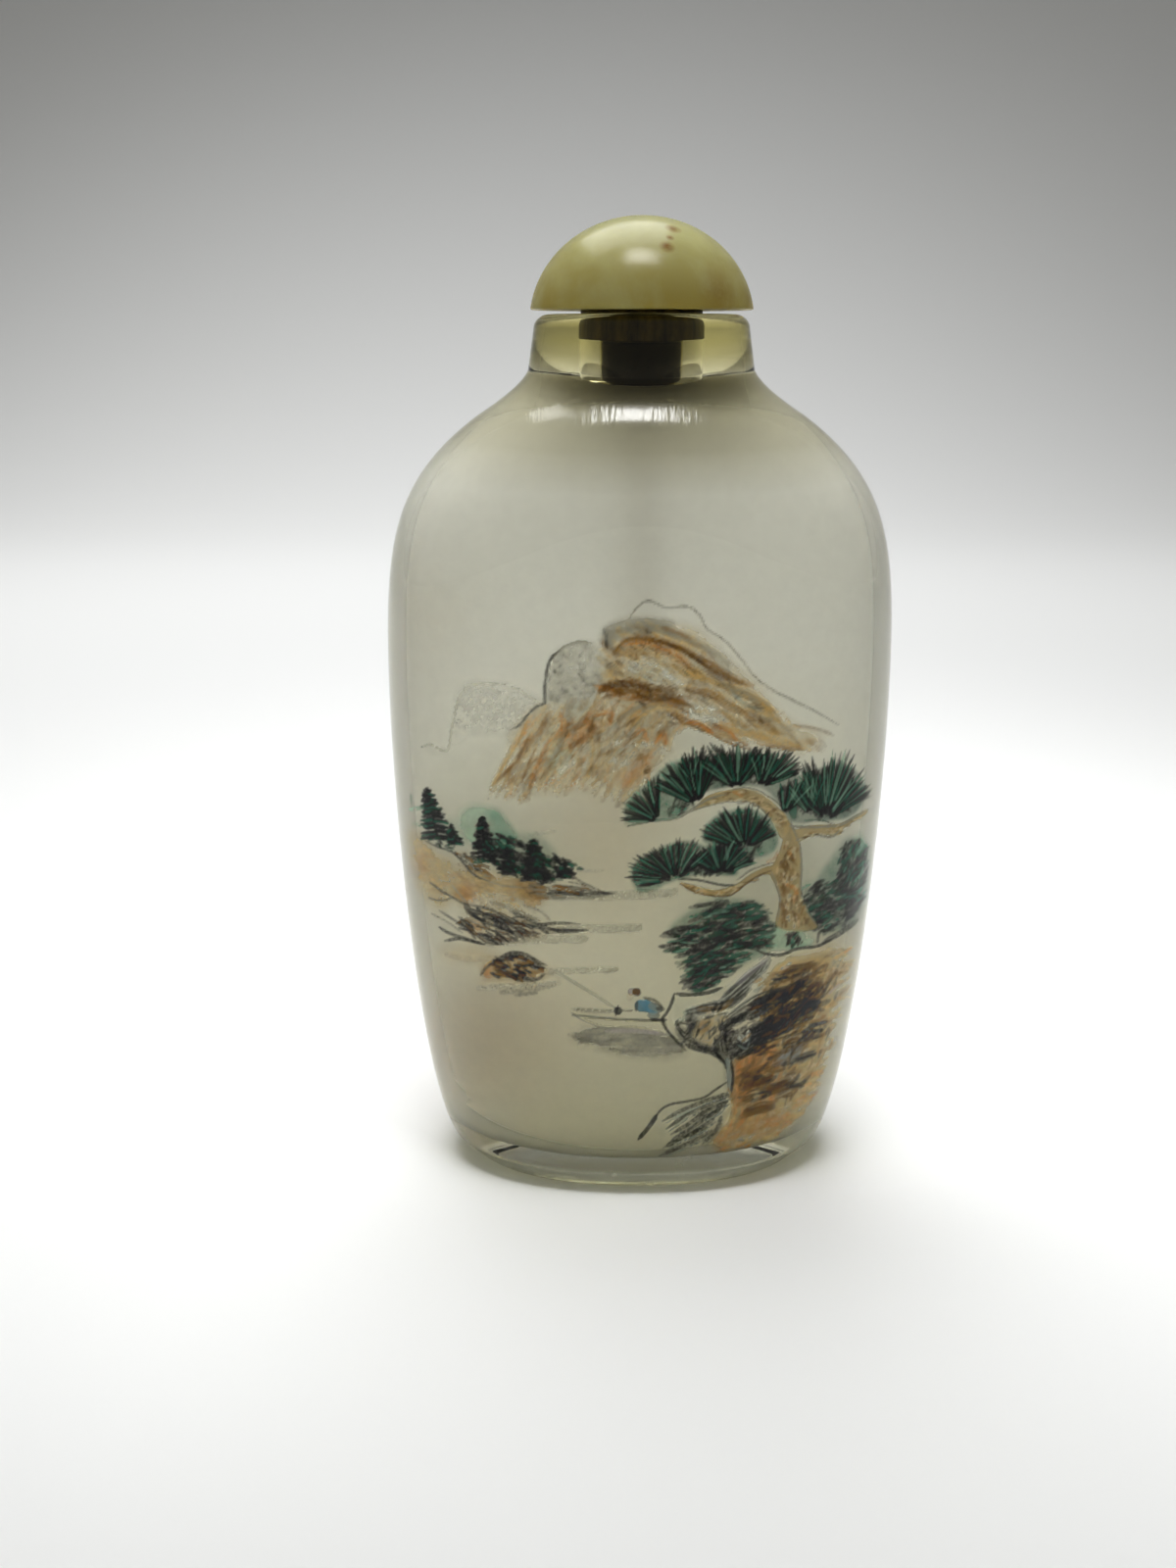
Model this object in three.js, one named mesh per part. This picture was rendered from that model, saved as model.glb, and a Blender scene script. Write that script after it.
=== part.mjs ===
// A flattened glass bottle for the hand, its front wall painted from the inside, closed by a domed
// stone stopper. Millimetres, +Z up, the origin at the middle of the underside, the front towards -Y.
import * as THREE from 'three';

// Glass bottle, outside
const bottleHeight = 72.5;
const bodyWidth = 42.24;
const bodyDepth = 25.2;
const bellyHeight = 43.8; // where the body is widest
const footWidth = 28.4;
const footDepth = 18.2;
const ridgeWidth = 33; // the foot flares out to this ridge
const ridgeDepth = 21.4;
const ridgeHeight = 2.04;
const shoulderWidth = 26.4; // where the shoulder begins to turn up into the neck
const shoulderHeight = 64.7;
const frontShoulderDepth = 21.4; // where the front leans back most, under the neck
const frontShoulderHeight = 65;
const neckDiameter = 18.3; // at its root
const neckTopDiameter = 17.4;
const neckRootHeight = 68.2;
const lipRound = 1.15;
const bodySquareness = 2.2; // 2 is an ellipse, more is squarer
const footRim = 3; // flat ring round the ground hollow in the underside
const footHollowDepth = 0.8;

// Glass bottle, inside
const wall = 1.6;
const floorThickness = 2.9;
const floorRound = 4.5;
const boreDiameter = 6.7;
const boreEase = 0.3; // small round at the mouth of the bore
const boreRootHeight = 66.4; // where the bore opens into the hollow

// Stopper
const capDiameter = 18.24;
const capHeight = 7.25;
const capUndercut = 1; // the dome is widest this far below its flat underside, were it whole
const capEdgeRound = 0.25;
const flangeDiameter = 9.8;
const flangeThickness = 0.3;
const boreClearance = 0.12; // round the collar and the plug
const collarLength = 2.4; // from the lip down into the bore
const plugLength = 5.1;
const plugEdgeRound = 0.4;
const spoonLength = 30;
const spoonShaftWidth = 1.1;
const spoonBowlLength = 8;
const spoonBowlWidth = 2.8;
const spoonThickness = 0.8;

// How finely the round shapes are cut
const bottleSides = 48;
const capSides = 44;
const collarSides = 32;
const spoonSides = 12;

const material = ( color, roughness, more = {} ) =>
	new THREE.MeshStandardMaterial( { color, roughness, metalness: 0, ...more } );
const glass = material( 0xcfd0c4, 0.12, { transparent: true, opacity: 0.45 } );
const stone = material( 0xa9a67c, 0.25 );
const horn = material( 0x5c5230, 0.4 );
const cork = material( 0x21130e, 0.75 );
const bamboo = material( 0x6d5a3c, 0.6 );

// Points on an outline between an ellipse and a rectangle, |x / a| ^ n + |y / b| ^ n = 1.
function outlinePoint( halfWidth, halfDepth, squareness, turn ) {

	const c = Math.cos( turn );
	const s = Math.sin( turn );
	const reach = ( Math.abs( c ) ** squareness + Math.abs( s ) ** squareness ) ** ( - 1 / squareness );
	return [ halfWidth * reach * c, halfDepth * reach * s ];

}

// A closed skin over rings { halfWidth, halfDepth, squareness, z }. The first and last are single
// points, and the rings between them run so that the outside lies on their right going up.
function loft( rings, sides ) {

	const corners = [];
	const faces = [];
	const inner = rings.slice( 1, - 1 );
	const ringCorner = ( ring, side ) => 1 + ring * sides + side % sides;
	corners.push( 0, 0, rings[ 0 ].z );
	for ( const { halfWidth, halfDepth, squareness, z } of inner ) {

		for ( let side = 0; side < sides; side ++ ) {

			const turn = 2 * Math.PI * side / sides;
			corners.push( ...outlinePoint( halfWidth, halfDepth, squareness, turn ), z );

		}

	}

	corners.push( 0, 0, rings.at( - 1 ).z );
	const last = 1 + inner.length * sides;
	for ( let side = 0; side < sides; side ++ ) {

		faces.push( 0, ringCorner( 0, side + 1 ), ringCorner( 0, side ) );
		for ( let ring = 0; ring < inner.length - 1; ring ++ ) {

			const a = ringCorner( ring, side );
			const b = ringCorner( ring, side + 1 );
			const c = ringCorner( ring + 1, side + 1 );
			const d = ringCorner( ring + 1, side );
			faces.push( a, b, c, a, c, d );

		}

		faces.push( last, ringCorner( inner.length - 1, side ), ringCorner( inner.length - 1, side + 1 ) );

	}

	const geometry = new THREE.BufferGeometry();
	geometry.setAttribute( 'position', new THREE.Float32BufferAttribute( corners, 3 ) );
	geometry.setIndex( faces );
	geometry.computeVertexNormals();
	return geometry;

}

// A turned shape: the profile is in (radius, height), from the axis below to the axis above.
function turned( profile, sides ) {

	return new THREE.LatheGeometry( profile, sides ).rotateX( Math.PI / 2 );

}

const at = ( radius, height ) => new THREE.Vector2( radius, height );

// Side profile of the body as two sweeps, in (half width, height): the flank from the ridge above the
// foot to the belly, and the shoulder from the belly to where it turns up into the neck.
const bodyHalf = bodyWidth / 2;
const ridgeHalf = ridgeWidth / 2;
const shoulderHalf = shoulderWidth / 2;
const flankRise = bellyHeight - ridgeHeight;
const shoulderRise = shoulderHeight - bellyHeight;
const flank = new THREE.CubicBezierCurve(
	at( ridgeHalf, ridgeHeight ),
	at( ridgeHalf + 0.6 * ( bodyHalf - ridgeHalf ), ridgeHeight + 0.13 * flankRise ),
	at( bodyHalf, bellyHeight - 0.35 * flankRise ),
	at( bodyHalf, bellyHeight ),
);
const shoulder = new THREE.CubicBezierCurve(
	at( bodyHalf, bellyHeight ),
	at( bodyHalf, bellyHeight + 0.52 * shoulderRise ),
	at( shoulderHalf + 0.885 * ( bodyHalf - shoulderHalf ), bellyHeight + 0.757 * shoulderRise ),
	at( shoulderHalf, shoulderHeight ),
);
const neckHalf = neckDiameter / 2;
const neckSweep = new THREE.QuadraticBezierCurve(
	at( shoulderHalf, shoulderHeight ),
	at( neckHalf + 0.14 * ( shoulderHalf - neckHalf ), shoulderHeight + 0.63 * ( neckRootHeight - shoulderHeight ) ),
	at( neckHalf, neckRootHeight ),
);

// Front profile above the belly, in (half depth, height): nearly flat, then leaning back to the neck.
const frontHalf = frontShoulderDepth / 2;
const frontRise = frontShoulderHeight - bellyHeight;
const neckRise = neckRootHeight - frontShoulderHeight;
const frontPoints = [
	...new THREE.CubicBezierCurve(
		at( bodyDepth / 2, bellyHeight ),
		at( bodyDepth / 2, bellyHeight + 0.65 * frontRise ),
		at( frontHalf + 0.95 * ( bodyDepth / 2 - frontHalf ), bellyHeight + 0.915 * frontRise ),
		at( frontHalf, frontShoulderHeight ),
	).getPoints( 24 ),
	...new THREE.QuadraticBezierCurve(
		at( frontHalf, frontShoulderHeight ),
		at( neckHalf + 0.23 * ( frontHalf - neckHalf ), frontShoulderHeight + 0.375 * neckRise ),
		at( neckHalf, neckRootHeight ),
	).getPoints( 8 ).slice( 1 ),
];

function frontDepthAt( z ) {

	const next = frontPoints.findIndex( ( point ) => point.y >= z - 1e-6 );
	if ( next < 1 ) return next === 0 ? bodyDepth / 2 : neckHalf;
	const [ low, high ] = [ frontPoints[ next - 1 ], frontPoints[ next ] ];
	return low.x + ( high.x - low.x ) * ( z - low.y ) / ( high.y - low.y );

}

// The outline at each height: deep and square at the belly, round at the neck.
function flankRing( { x: halfWidth, y: z } ) {

	const share = ( halfWidth - ridgeHalf ) / ( bodyHalf - ridgeHalf );
	const halfDepth = ( ridgeDepth + ( bodyDepth - ridgeDepth ) * share ) / 2;
	return { halfWidth, halfDepth, squareness: bodySquareness, z };

}

function shoulderRing( { x: halfWidth, y: z } ) {

	const share = ( halfWidth - neckHalf ) / ( bodyHalf - neckHalf );
	return { halfWidth, halfDepth: frontDepthAt( z ), squareness: 2 + ( bodySquareness - 2 ) * share, z };

}

const roundRing = ( radius, z ) => ( { halfWidth: radius, halfDepth: radius, squareness: 2, z } );

// A quarter round from one direction to the next, in (radius, height), without its two ends.
function quarterRound( centre, radius, from, to, steps ) {

	const points = [];
	for ( let step = 1; step < steps; step ++ ) {

		const turn = from + ( to - from ) * step / steps;
		points.push( at( centre.x + radius * Math.cos( turn ), centre.y + radius * Math.sin( turn ) ) );

	}

	return points;

}

function outsideRings() {

	const hollowWidth = footWidth / 2 - footRim;
	const hollowDepth = footDepth / 2 - footRim;
	const foot = [
		{ halfWidth: 0, z: footHollowDepth },
		{ halfWidth: hollowWidth - footHollowDepth, halfDepth: hollowDepth - footHollowDepth, z: footHollowDepth },
		{ halfWidth: hollowWidth, halfDepth: hollowDepth, z: 0 },
		{ halfWidth: footWidth / 2, halfDepth: footDepth / 2, z: 0 },
	].map( ( ring ) => ( { ...ring, squareness: bodySquareness } ) );
	const body = [
		...flank.getPoints( 10 ).map( flankRing ),
		...shoulder.getPoints( 11 ).slice( 1 ).map( shoulderRing ),
		...neckSweep.getPoints( 6 ).slice( 1 ).map( shoulderRing ),
	];
	const lipCentre = at( neckTopDiameter / 2 - lipRound, bottleHeight - lipRound );
	const lip = [
		at( neckTopDiameter / 2, lipCentre.y ),
		...quarterRound( lipCentre, lipRound, 0, Math.PI / 2, 4 ),
		at( lipCentre.x, bottleHeight ),
	].map( ( { x, y } ) => roundRing( x, y ) );
	return [ ...foot, ...body, ...lip ];

}

// The hollow follows the outside one wall in, from the mouth down to its floor.
function inset( curve, share ) {

	const point = curve.getPoint( share );
	const along = curve.getTangent( share );
	return at( point.x - wall * along.y, point.y + wall * along.x );

}

function insideRings() {

	const boreRadius = boreDiameter / 2;
	const mouthCentre = at( boreRadius + boreEase, bottleHeight - boreEase );
	const bore = [
		at( mouthCentre.x, bottleHeight ),
		...quarterRound( mouthCentre, boreEase, Math.PI / 2, Math.PI, 2 ),
		at( boreRadius, mouthCentre.y ),
		at( boreRadius, boreRootHeight ),
	].map( ( { x, y } ) => roundRing( x, y ) );

	const shoulderEnd = inset( shoulder, 1 );
	const ceiling = new THREE.QuadraticBezierCurve(
		at( boreRadius, boreRootHeight ),
		at( ( boreRadius + shoulderEnd.x ) / 2, boreRootHeight - 0.2 * ( boreRootHeight - shoulderEnd.y ) ),
		shoulderEnd,
	).getPoints( 4 ).slice( 1, - 1 );
	const shares = Array.from( { length: 9 }, ( _, step ) => 1 - step / 8 );
	const sides = [
		...shares.map( ( share ) => inset( shoulder, share ) ),
		...shares.slice( 1 ).map( ( share ) => inset( flank, share ) ),
	].filter( ( point ) => point.y > floorThickness + floorRound );
	const floorEdge = sides.at( - 1 ).x - 0.3;
	const floorCentre = at( floorEdge - floorRound, floorThickness + floorRound );
	const floor = [
		...quarterRound( floorCentre, floorRound, 0, - Math.PI / 2, 4 ),
		at( floorCentre.x, floorThickness ),
	];

	const innerHalf = bodyHalf - wall;
	const innerDepth = bodyDepth / 2 - wall;
	const hollow = [ ...ceiling, ...sides, ...floor ].map( ( { x, y } ) => {

		const share = ( x - boreRadius ) / ( innerHalf - boreRadius );
		return {
			halfWidth: x,
			halfDepth: boreRadius + ( innerDepth - boreRadius ) * share ** 0.8,
			squareness: 2 + ( bodySquareness - 2 ) * share,
			z: y,
		};

	} );
	return [ ...bore, ...hollow, { z: floorThickness } ];

}

// A dome of stone, flat below: the upper part of an ellipsoid, its sharp edge just broken.
function capGeometry() {

	const rise = capHeight + capUndercut;
	const radiusAt = ( height ) => capDiameter / 2 * Math.sqrt( 1 - ( ( height + capUndercut ) / rise ) ** 2 );
	const start = Math.asin( ( capEdgeRound + capUndercut ) / rise );
	const profile = [ at( 0, 0 ), at( radiusAt( 0 ) - capEdgeRound, 0 ) ];
	const steps = 12;
	for ( let step = 0; step < steps; step ++ ) {

		const turn = start + ( Math.PI / 2 - start ) * step / steps;
		profile.push( at( capDiameter / 2 * Math.cos( turn ), rise * Math.sin( turn ) - capUndercut ) );

	}

	profile.push( at( 0, capHeight ) );
	return turned( profile, capSides );

}

// A thin flange that lies on the lip, and under it the collar that fills the bore.
const boreFit = boreDiameter / 2 - boreClearance;

function collarGeometry() {

	return turned( [
		at( 0, - collarLength ),
		at( boreFit, - collarLength ),
		at( boreFit, 0 ),
		at( flangeDiameter / 2, 0 ),
		at( flangeDiameter / 2, flangeThickness ),
		at( 0, flangeThickness ),
	], collarSides );

}

function plugGeometry() {

	return turned( [
		at( 0, - plugLength ),
		at( boreFit - plugEdgeRound, - plugLength ),
		at( boreFit, - plugLength + plugEdgeRound ),
		at( boreFit, 0 ),
		at( 0, 0 ),
	], collarSides );

}

// A slip of bamboo: a thin shaft that widens into a leaf-shaped bowl.
function spoonGeometry() {

	const rings = [ { z: - spoonLength } ];
	const bowlSteps = 7;
	for ( let step = 1; step < bowlSteps; step ++ ) {

		const share = step / bowlSteps;
		const swell = Math.sin( Math.PI * share ** 0.8 );
		rings.push( {
			halfWidth: Math.max( spoonBowlWidth * swell, share > 0.5 ? spoonShaftWidth : 0 ) / 2,
			halfDepth: spoonThickness / 2 * Math.min( 1, 0.6 + share ),
			squareness: 2,
			z: - spoonLength + spoonBowlLength * share,
		} );

	}

	for ( const z of [ spoonBowlLength - spoonLength, 0 ] ) {

		rings.push( { halfWidth: spoonShaftWidth / 2, halfDepth: spoonThickness / 2, squareness: 2, z } );

	}

	rings.push( { z: 0 } );
	return loft( rings, spoonSides );

}

function piece( name, geometry, finish, height = 0 ) {

	const mesh = new THREE.Mesh( geometry, finish );
	mesh.name = name;
	mesh.position.z = height;
	return mesh;

}

const stopper = new THREE.Group();
stopper.position.z = bottleHeight;
stopper.add(
	piece( 'stopper_cap', capGeometry(), stone, flangeThickness ),
	piece( 'stopper_collar', collarGeometry(), horn ),
	piece( 'stopper_plug', plugGeometry(), cork, - collarLength ),
	piece( 'stopper_spoon', spoonGeometry(), bamboo, - collarLength - plugLength ),
);

const group = new THREE.Group();
group.add( piece( 'bottle', loft( [ ...outsideRings(), ...insideRings() ], bottleSides ), glass ), stopper );

export default group;
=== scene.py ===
import math

import bpy
import numpy as np
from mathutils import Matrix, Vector


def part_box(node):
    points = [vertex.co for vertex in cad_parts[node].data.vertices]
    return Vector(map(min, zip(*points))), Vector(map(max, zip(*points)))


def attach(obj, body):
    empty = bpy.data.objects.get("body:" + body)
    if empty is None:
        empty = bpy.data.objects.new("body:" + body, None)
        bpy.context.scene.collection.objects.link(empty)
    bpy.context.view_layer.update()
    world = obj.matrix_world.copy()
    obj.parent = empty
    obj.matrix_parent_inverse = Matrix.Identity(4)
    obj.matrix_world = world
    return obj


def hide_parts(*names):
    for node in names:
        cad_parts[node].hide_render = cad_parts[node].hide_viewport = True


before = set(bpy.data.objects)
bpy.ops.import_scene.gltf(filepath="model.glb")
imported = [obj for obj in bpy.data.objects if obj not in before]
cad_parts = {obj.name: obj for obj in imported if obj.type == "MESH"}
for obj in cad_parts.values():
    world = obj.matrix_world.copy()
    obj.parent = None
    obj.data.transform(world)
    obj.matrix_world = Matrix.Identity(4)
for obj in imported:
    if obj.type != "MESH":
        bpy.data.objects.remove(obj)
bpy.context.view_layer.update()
mm = 0.001  # sizes are in millimetres where no comment says otherwise

print("frame loaded")

# camera: the picture's own close-up view, a long arm's reach from the bottle
view = dict(place=(-4.3, -138.8, 70.9), pitch=15.08, focalPixels=1700.0, wide=1200, high=1600, sensor=36.0,
            nearest=5)


def addCamera():
    camera = bpy.data.objects.new("camera", bpy.data.cameras.new("camera"))
    camera.data.sensor_width = view["sensor"]
    camera.data.lens = view["focalPixels"] / view["high"] * view["sensor"]
    camera.data.clip_start = view["nearest"] * mm
    camera.location = [v * mm for v in view["place"]]
    camera.rotation_euler = (math.radians(90 - view["pitch"]), 0, 0)
    bpy.context.scene.collection.objects.link(camera)
    bpy.context.scene.camera = camera


addCamera()

# material helpers


def newMaterial(name):
    material = bpy.data.materials.new(name)
    material.use_nodes = True
    tree = material.node_tree
    return material, tree, tree.nodes["Principled BSDF"]


def feed(socket, value):
    # a socket takes another node's output or a plain value
    if hasattr(value, "links"):
        socket.id_data.links.new(value, socket)
    elif socket.type == "RGBA":
        socket.default_value = (*value, 1)
    else:
        socket.default_value = value


def setInputs(node, **values):
    # a _ in a name stands for a space
    for name, value in values.items():
        feed(node.inputs[name.replace("_", " ")], value)


def addNode(tree, kind, **values):
    # a name that the node knows is a setting, any other one of its inputs
    node = tree.nodes.new(kind)
    for name, value in values.items():
        if hasattr(node, name):
            setattr(node, name, value)
        else:
            setInputs(node, **{name: value})
    return node


def positionOf(tree):
    # the shaded point, and its height alone
    place = addNode(tree, "ShaderNodeNewGeometry").outputs["Position"]
    return place, addNode(tree, "ShaderNodeSeparateXYZ", Vector=place).outputs["Z"]


def ranged(tree, value, low, high, least=0, most=1):
    # least where the value is low, most where it is high, even between
    node = addNode(tree, "ShaderNodeMapRange", Value=value, From_Min=low, From_Max=high, To_Min=least,
                   To_Max=most)
    return node.outputs[0]


def noise(tree, place, scale, detail, roughness, distortion=0):
    node = addNode(tree, "ShaderNodeTexNoise", Vector=place, Scale=scale, Detail=detail, Roughness=roughness,
                   Distortion=distortion)
    return node.outputs["Fac"]


def calculate(tree, kind, operation, *values, clamp=False):
    # a Math or Vector Math node with these values in its sockets
    node = addNode(tree, kind, operation=operation)
    if clamp:
        node.use_clamp = True
    for socket, value in zip(node.inputs, values):
        feed(socket, value)
    return node


def distanceTo(tree, place, spot):
    return calculate(tree, "ShaderNodeVectorMath", "DISTANCE", place, spot).outputs["Value"]


def addBump(tree, shader, height, strength, depth):
    bump = addNode(tree, "ShaderNodeBump", Height=height, Strength=strength, Distance=depth)
    feed(shader.inputs["Normal"], bump.outputs[0])


def clearToLamps(tree, shader, tint):
    # lamp light passes straight through the glass, so that what is inside is lit
    lightPath = addNode(tree, "ShaderNodeLightPath")
    through = addNode(tree, "ShaderNodeBsdfTransparent", Color=tint)
    mix = addNode(tree, "ShaderNodeMixShader")
    sources = (lightPath.outputs["Is Shadow Ray"], shader.outputs[0], through.outputs[0])
    for socket, source in zip(mix.inputs, sources):
        feed(socket, source)
    feed(tree.nodes["Material Output"].inputs["Surface"], mix.outputs[0])


def mixColour(tree, factor, first, second):
    # colours are sockets or plain values
    mix = addNode(tree, "ShaderNodeMix", data_type="RGBA")
    for slot, value in ((0, factor), (6, first), (7, second)):
        feed(mix.inputs[slot], value)
    return mix.outputs[2]


def newGroup(name, inputs, outputs):
    group = bpy.data.node_groups.new(name, "ShaderNodeTree")
    for label, kind, value in inputs:
        socket = group.interface.new_socket(label, in_out="INPUT", socket_type="NodeSocket" + kind)
        socket.default_value = value
    for label, kind in outputs:
        group.interface.new_socket(label, in_out="OUTPUT", socket_type="NodeSocket" + kind)
    return group, group.nodes.new("NodeGroupInput"), group.nodes.new("NodeGroupOutput")


def grainGroup():
    # fibres: noise drawn out along the height, for colour, roughness and relief
    if "drawn grain" in bpy.data.node_groups:
        return bpy.data.node_groups["drawn grain"]
    inputs = [
        ("Dark", "Color", (0.1, 0.1, 0.1, 1)),
        ("Light", "Color", (0.3, 0.3, 0.3, 1)),
        ("Across", "Float", 900),
        ("Along", "Float", 200),
        ("Least Roughness", "Float", 0.4),
        ("Most Roughness", "Float", 0.6),
    ]
    outputs = [("Colour", "Color"), ("Roughness", "Float"), ("Relief", "Float")]
    group, given, made = newGroup("drawn grain", inputs, outputs)
    across, along = given.outputs["Across"], given.outputs["Along"]
    stretch = addNode(group, "ShaderNodeCombineXYZ", X=across, Y=across, Z=along)
    place = positionOf(group)[0]
    drawn = calculate(group, "ShaderNodeVectorMath", "MULTIPLY", place, stretch.outputs[0])
    fibre = noise(group, drawn.outputs[0], 1, 6, 0.65)
    sharp = ranged(group, fibre, 0.35, 0.65)
    rough = ranged(group, fibre, 0, 1, given.outputs["Least Roughness"], given.outputs["Most Roughness"])
    colour = mixColour(group, sharp, given.outputs["Dark"], given.outputs["Light"])
    setInputs(made, Colour=colour, Roughness=rough, Relief=sharp)
    return group


# each noise is its scale, detail and roughness; lampThrough is the lamp light that a finish lets pass
glass = dict(
    index=1.5,
    clear=(0.92, 0.915, 0.84),
    # the neck colour is the thick glass's own olive, darkened further as painted shade for the dark
    # surroundings it refracts
    neckOlive=(0.43, 0.385, 0.155),
    neckFrom=62.0,
    neckTo=69.5,
    # the foot colour is the thick glass's own olive, darkened further as painted shade for the shadowed floor
    # seen through it
    footOlive=(0.55, 0.56, 0.44),
    footFrom=7.0,
    footTo=2.0,
    # the rim colour is painted shade: a dark band along the bottom edge for the shadowed floor under it
    rimOlive=(0.3, 0.3, 0.2),
    rimFrom=1.1,
    rimTo=0.2,
    smear=(180, 5, 0.6),
    film=0.012,
    marksAt=(-1, -10.5, 63.6),
    marksShape=(0.55, 1, 1.7),
    marksEdge=6.5,
    marksFull=3.5,
    marksRough=0.23,
    marksDeep=0.05,
    marksGrain=(3400, 500, 500),
    marksLean=(0, 0.5, 0),
    scuff=(400, 6, 0.7),
    scuffRough=(0.08, 0.3),
    grit=(900, 6, 0.7),
    gritShade=(0.94, 1),
    milk=(0.95, 0.95, 0.90),
    milkLow=(0.93, 0.90, 0.74),
    milkFrom=46.0,
    milkTo=12.0,
    # above the arch the milk turns to a darker olive: painted shade under the neck, with the olive of the
    # thick shoulder glass
    paintedShadeUnderNeck=(0.62, 0.60, 0.48),
    archFrom=59.0,
    archTo=62.0,
    groundRoughness=0.7,
    groundClear=0.8,
    lampThroughPolished=(0.5, 0.5, 0.47),
    lampThroughGround=(0.4, 0.4, 0.37),
    lampThroughFoot=(0.03, 0.03, 0.02),
)


def startGlass(name, clear, lampTint):
    # what the three finishes share
    material, tree, shader = newMaterial(name)
    setInputs(shader, Transmission_Weight=clear, IOR=glass["index"])
    clearToLamps(tree, shader, lampTint)
    place, height = positionOf(tree)
    return material, tree, shader, place, height


def between(tree, height, part):
    # 0 at the height where a part of the glass starts, 1 where it is full
    return ranged(tree, height, glass[part + "From"] * mm, glass[part + "To"] * mm)


def depthTintAndPaintedShade(tree):
    # the thick glass of the neck and foot looks olive, the thin walls nearly clear; both are also darkened as
    # painted shade, and the bottom rim gets a painted dark band for the shadowed floor it faces
    group = bpy.data.node_groups.get("depth tint and painted shade")
    if not group:
        parts = ("neck", "foot", "rim")
        inputs = [("Clear", "Color", (*glass["clear"], 1))]
        inputs += [(part.title(), "Color", (*glass[part + "Olive"], 1)) for part in parts]
        group, given, made = newGroup("depth tint and painted shade", inputs, [("Colour", "Color")])
        height, colour = positionOf(group)[1], given.outputs["Clear"]
        for part in parts:
            colour = mixColour(group, between(group, height, part), colour, given.outputs[part.title()])
        setInputs(made, Colour=colour)
    return addNode(tree, "ShaderNodeGroup", node_tree=group).outputs["Colour"]


def polishedGlass():
    material, tree, shader, place, _ = startGlass("polished glass", 1, glass["lampThroughPolished"])
    rough = ranged(tree, noise(tree, place, *glass["smear"]), 0.5, 0.8, 0, glass["film"])
    # the shoulder is hand polished, with fine marks that run down from the neck
    squash = addNode(tree, "ShaderNodeMapping", Vector=place, Scale=glass["marksShape"])
    middle = [v * k * mm for v, k in zip(glass["marksAt"], glass["marksShape"])]
    away = distanceTo(tree, squash.outputs[0], middle)
    marked = ranged(tree, away, glass["marksEdge"] * mm, glass["marksFull"] * mm)
    worn = calculate(tree, "ShaderNodeMath", "MULTIPLY_ADD", marked, glass["marksRough"], rough)
    grain = addNode(tree, "ShaderNodeMapping", Vector=place, Scale=glass["marksGrain"],
                    Rotation=glass["marksLean"])
    addBump(tree, shader, noise(tree, grain.outputs[0], 1, 2, 0.5), marked, glass["marksDeep"] * mm)
    setInputs(shader, Base_Color=depthTintAndPaintedShade(tree), Roughness=worn.outputs[0])
    return material


def footGlass():
    # the thick foot, which lets little lamp light through to the floor
    material, tree, shader, place, _ = startGlass("foot glass", 1, glass["lampThroughFoot"])
    rough = ranged(tree, noise(tree, place, *glass["scuff"]), 0.3, 0.7, *glass["scuffRough"])
    setInputs(shader, Base_Color=depthTintAndPaintedShade(tree), Roughness=rough)
    return material


def groundGlass():
    # ground to a milky surface, warmer low down, and darker and more olive under the neck, partly for the
    # thick shoulder glass and partly as painted shade
    material, tree, shader, place, height = startGlass(
        "ground glass", glass["groundClear"], glass["lampThroughGround"])
    shade = ranged(tree, noise(tree, place, *glass["grit"]), 0.3, 0.7, *glass["gritShade"])
    milk = mixColour(tree, between(tree, height, "milk"), glass["milk"], glass["milkLow"])
    # painted shade: from archFrom to archTo the milk darkens to olive under the neck
    milk = mixColour(tree, between(tree, height, "arch"), milk, glass["paintedShadeUnderNeck"])
    colour = mixColour(tree, shade, (0, 0, 0), milk)
    setInputs(shader, Base_Color=colour, Roughness=glass["groundRoughness"])
    return material


# bottle: one glass skin, outside from the underside up to the lip, inside from the lip down

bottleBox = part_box("bottle")
bottle = dict(
    width=(bottleBox[1][0] - bottleBox[0][0]) / mm,
    depth=(bottleBox[1][1] - bottleBox[0][1]) / mm,
    height=bottleBox[1][2] / mm,
    bellyHeight=43.8,
    footWidth=28.4,
    footDepth=18.2,
    ridgeWidth=33.0,
    ridgeDepth=21.4,
    ridgeHeight=2.04,
    shoulderWidth=26.4,
    shoulderHeight=64.7,
    frontShoulderDepth=21.4,
    frontShoulderHeight=65.0,
    neckWidth=18.3,
    neckTopWidth=17.4,
    neckRootHeight=68.2,
    lipRound=1.15,
    squareness=2.2,
    footRim=3.0,
    footHollow=0.8,
    footEase=0.55,
    finishEase=0.3,
    wall=1.6,
    floor=2.9,
    floorRound=4.5,
    bore=6.7,
    boreEase=0.3,
    boreRoot=66.4,
    sides=144,
)


def bend(points, steps):
    # a Bezier curve of any order through its first and last point
    share = np.linspace(0, 1, steps + 1)[:, None]
    level = [np.array(p, float)[None, :] for p in points]
    while len(level) > 1:
        level = [a * (1 - share) + b * share for a, b in zip(level, level[1:])]
    return level[0]


def softCorners(points, cut, steps=5):
    # a broken line whose corners are eased off, cut millimetres before and after each
    line = [np.array(p, float) for p in points]
    out = [line[0][None, :]]
    for before, corner, after in zip(line, line[1:], line[2:]):
        reach = min(cut, np.linalg.norm(before - corner) / 2.2, np.linalg.norm(after - corner) / 2.2)
        start = corner + (before - corner) / np.linalg.norm(before - corner) * reach
        end = corner + (after - corner) / np.linalg.norm(after - corner) * reach
        out.append(bend([start, corner, end], steps))
    out.append(line[-1][None, :])
    return np.vstack(out)


def quarterRound(centre, radius, start, end, steps):
    turn = np.radians(np.linspace(start, end, steps + 1))
    return np.stack([centre[0] + radius * np.cos(turn), centre[1] + radius * np.sin(turn)], 1)


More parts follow.
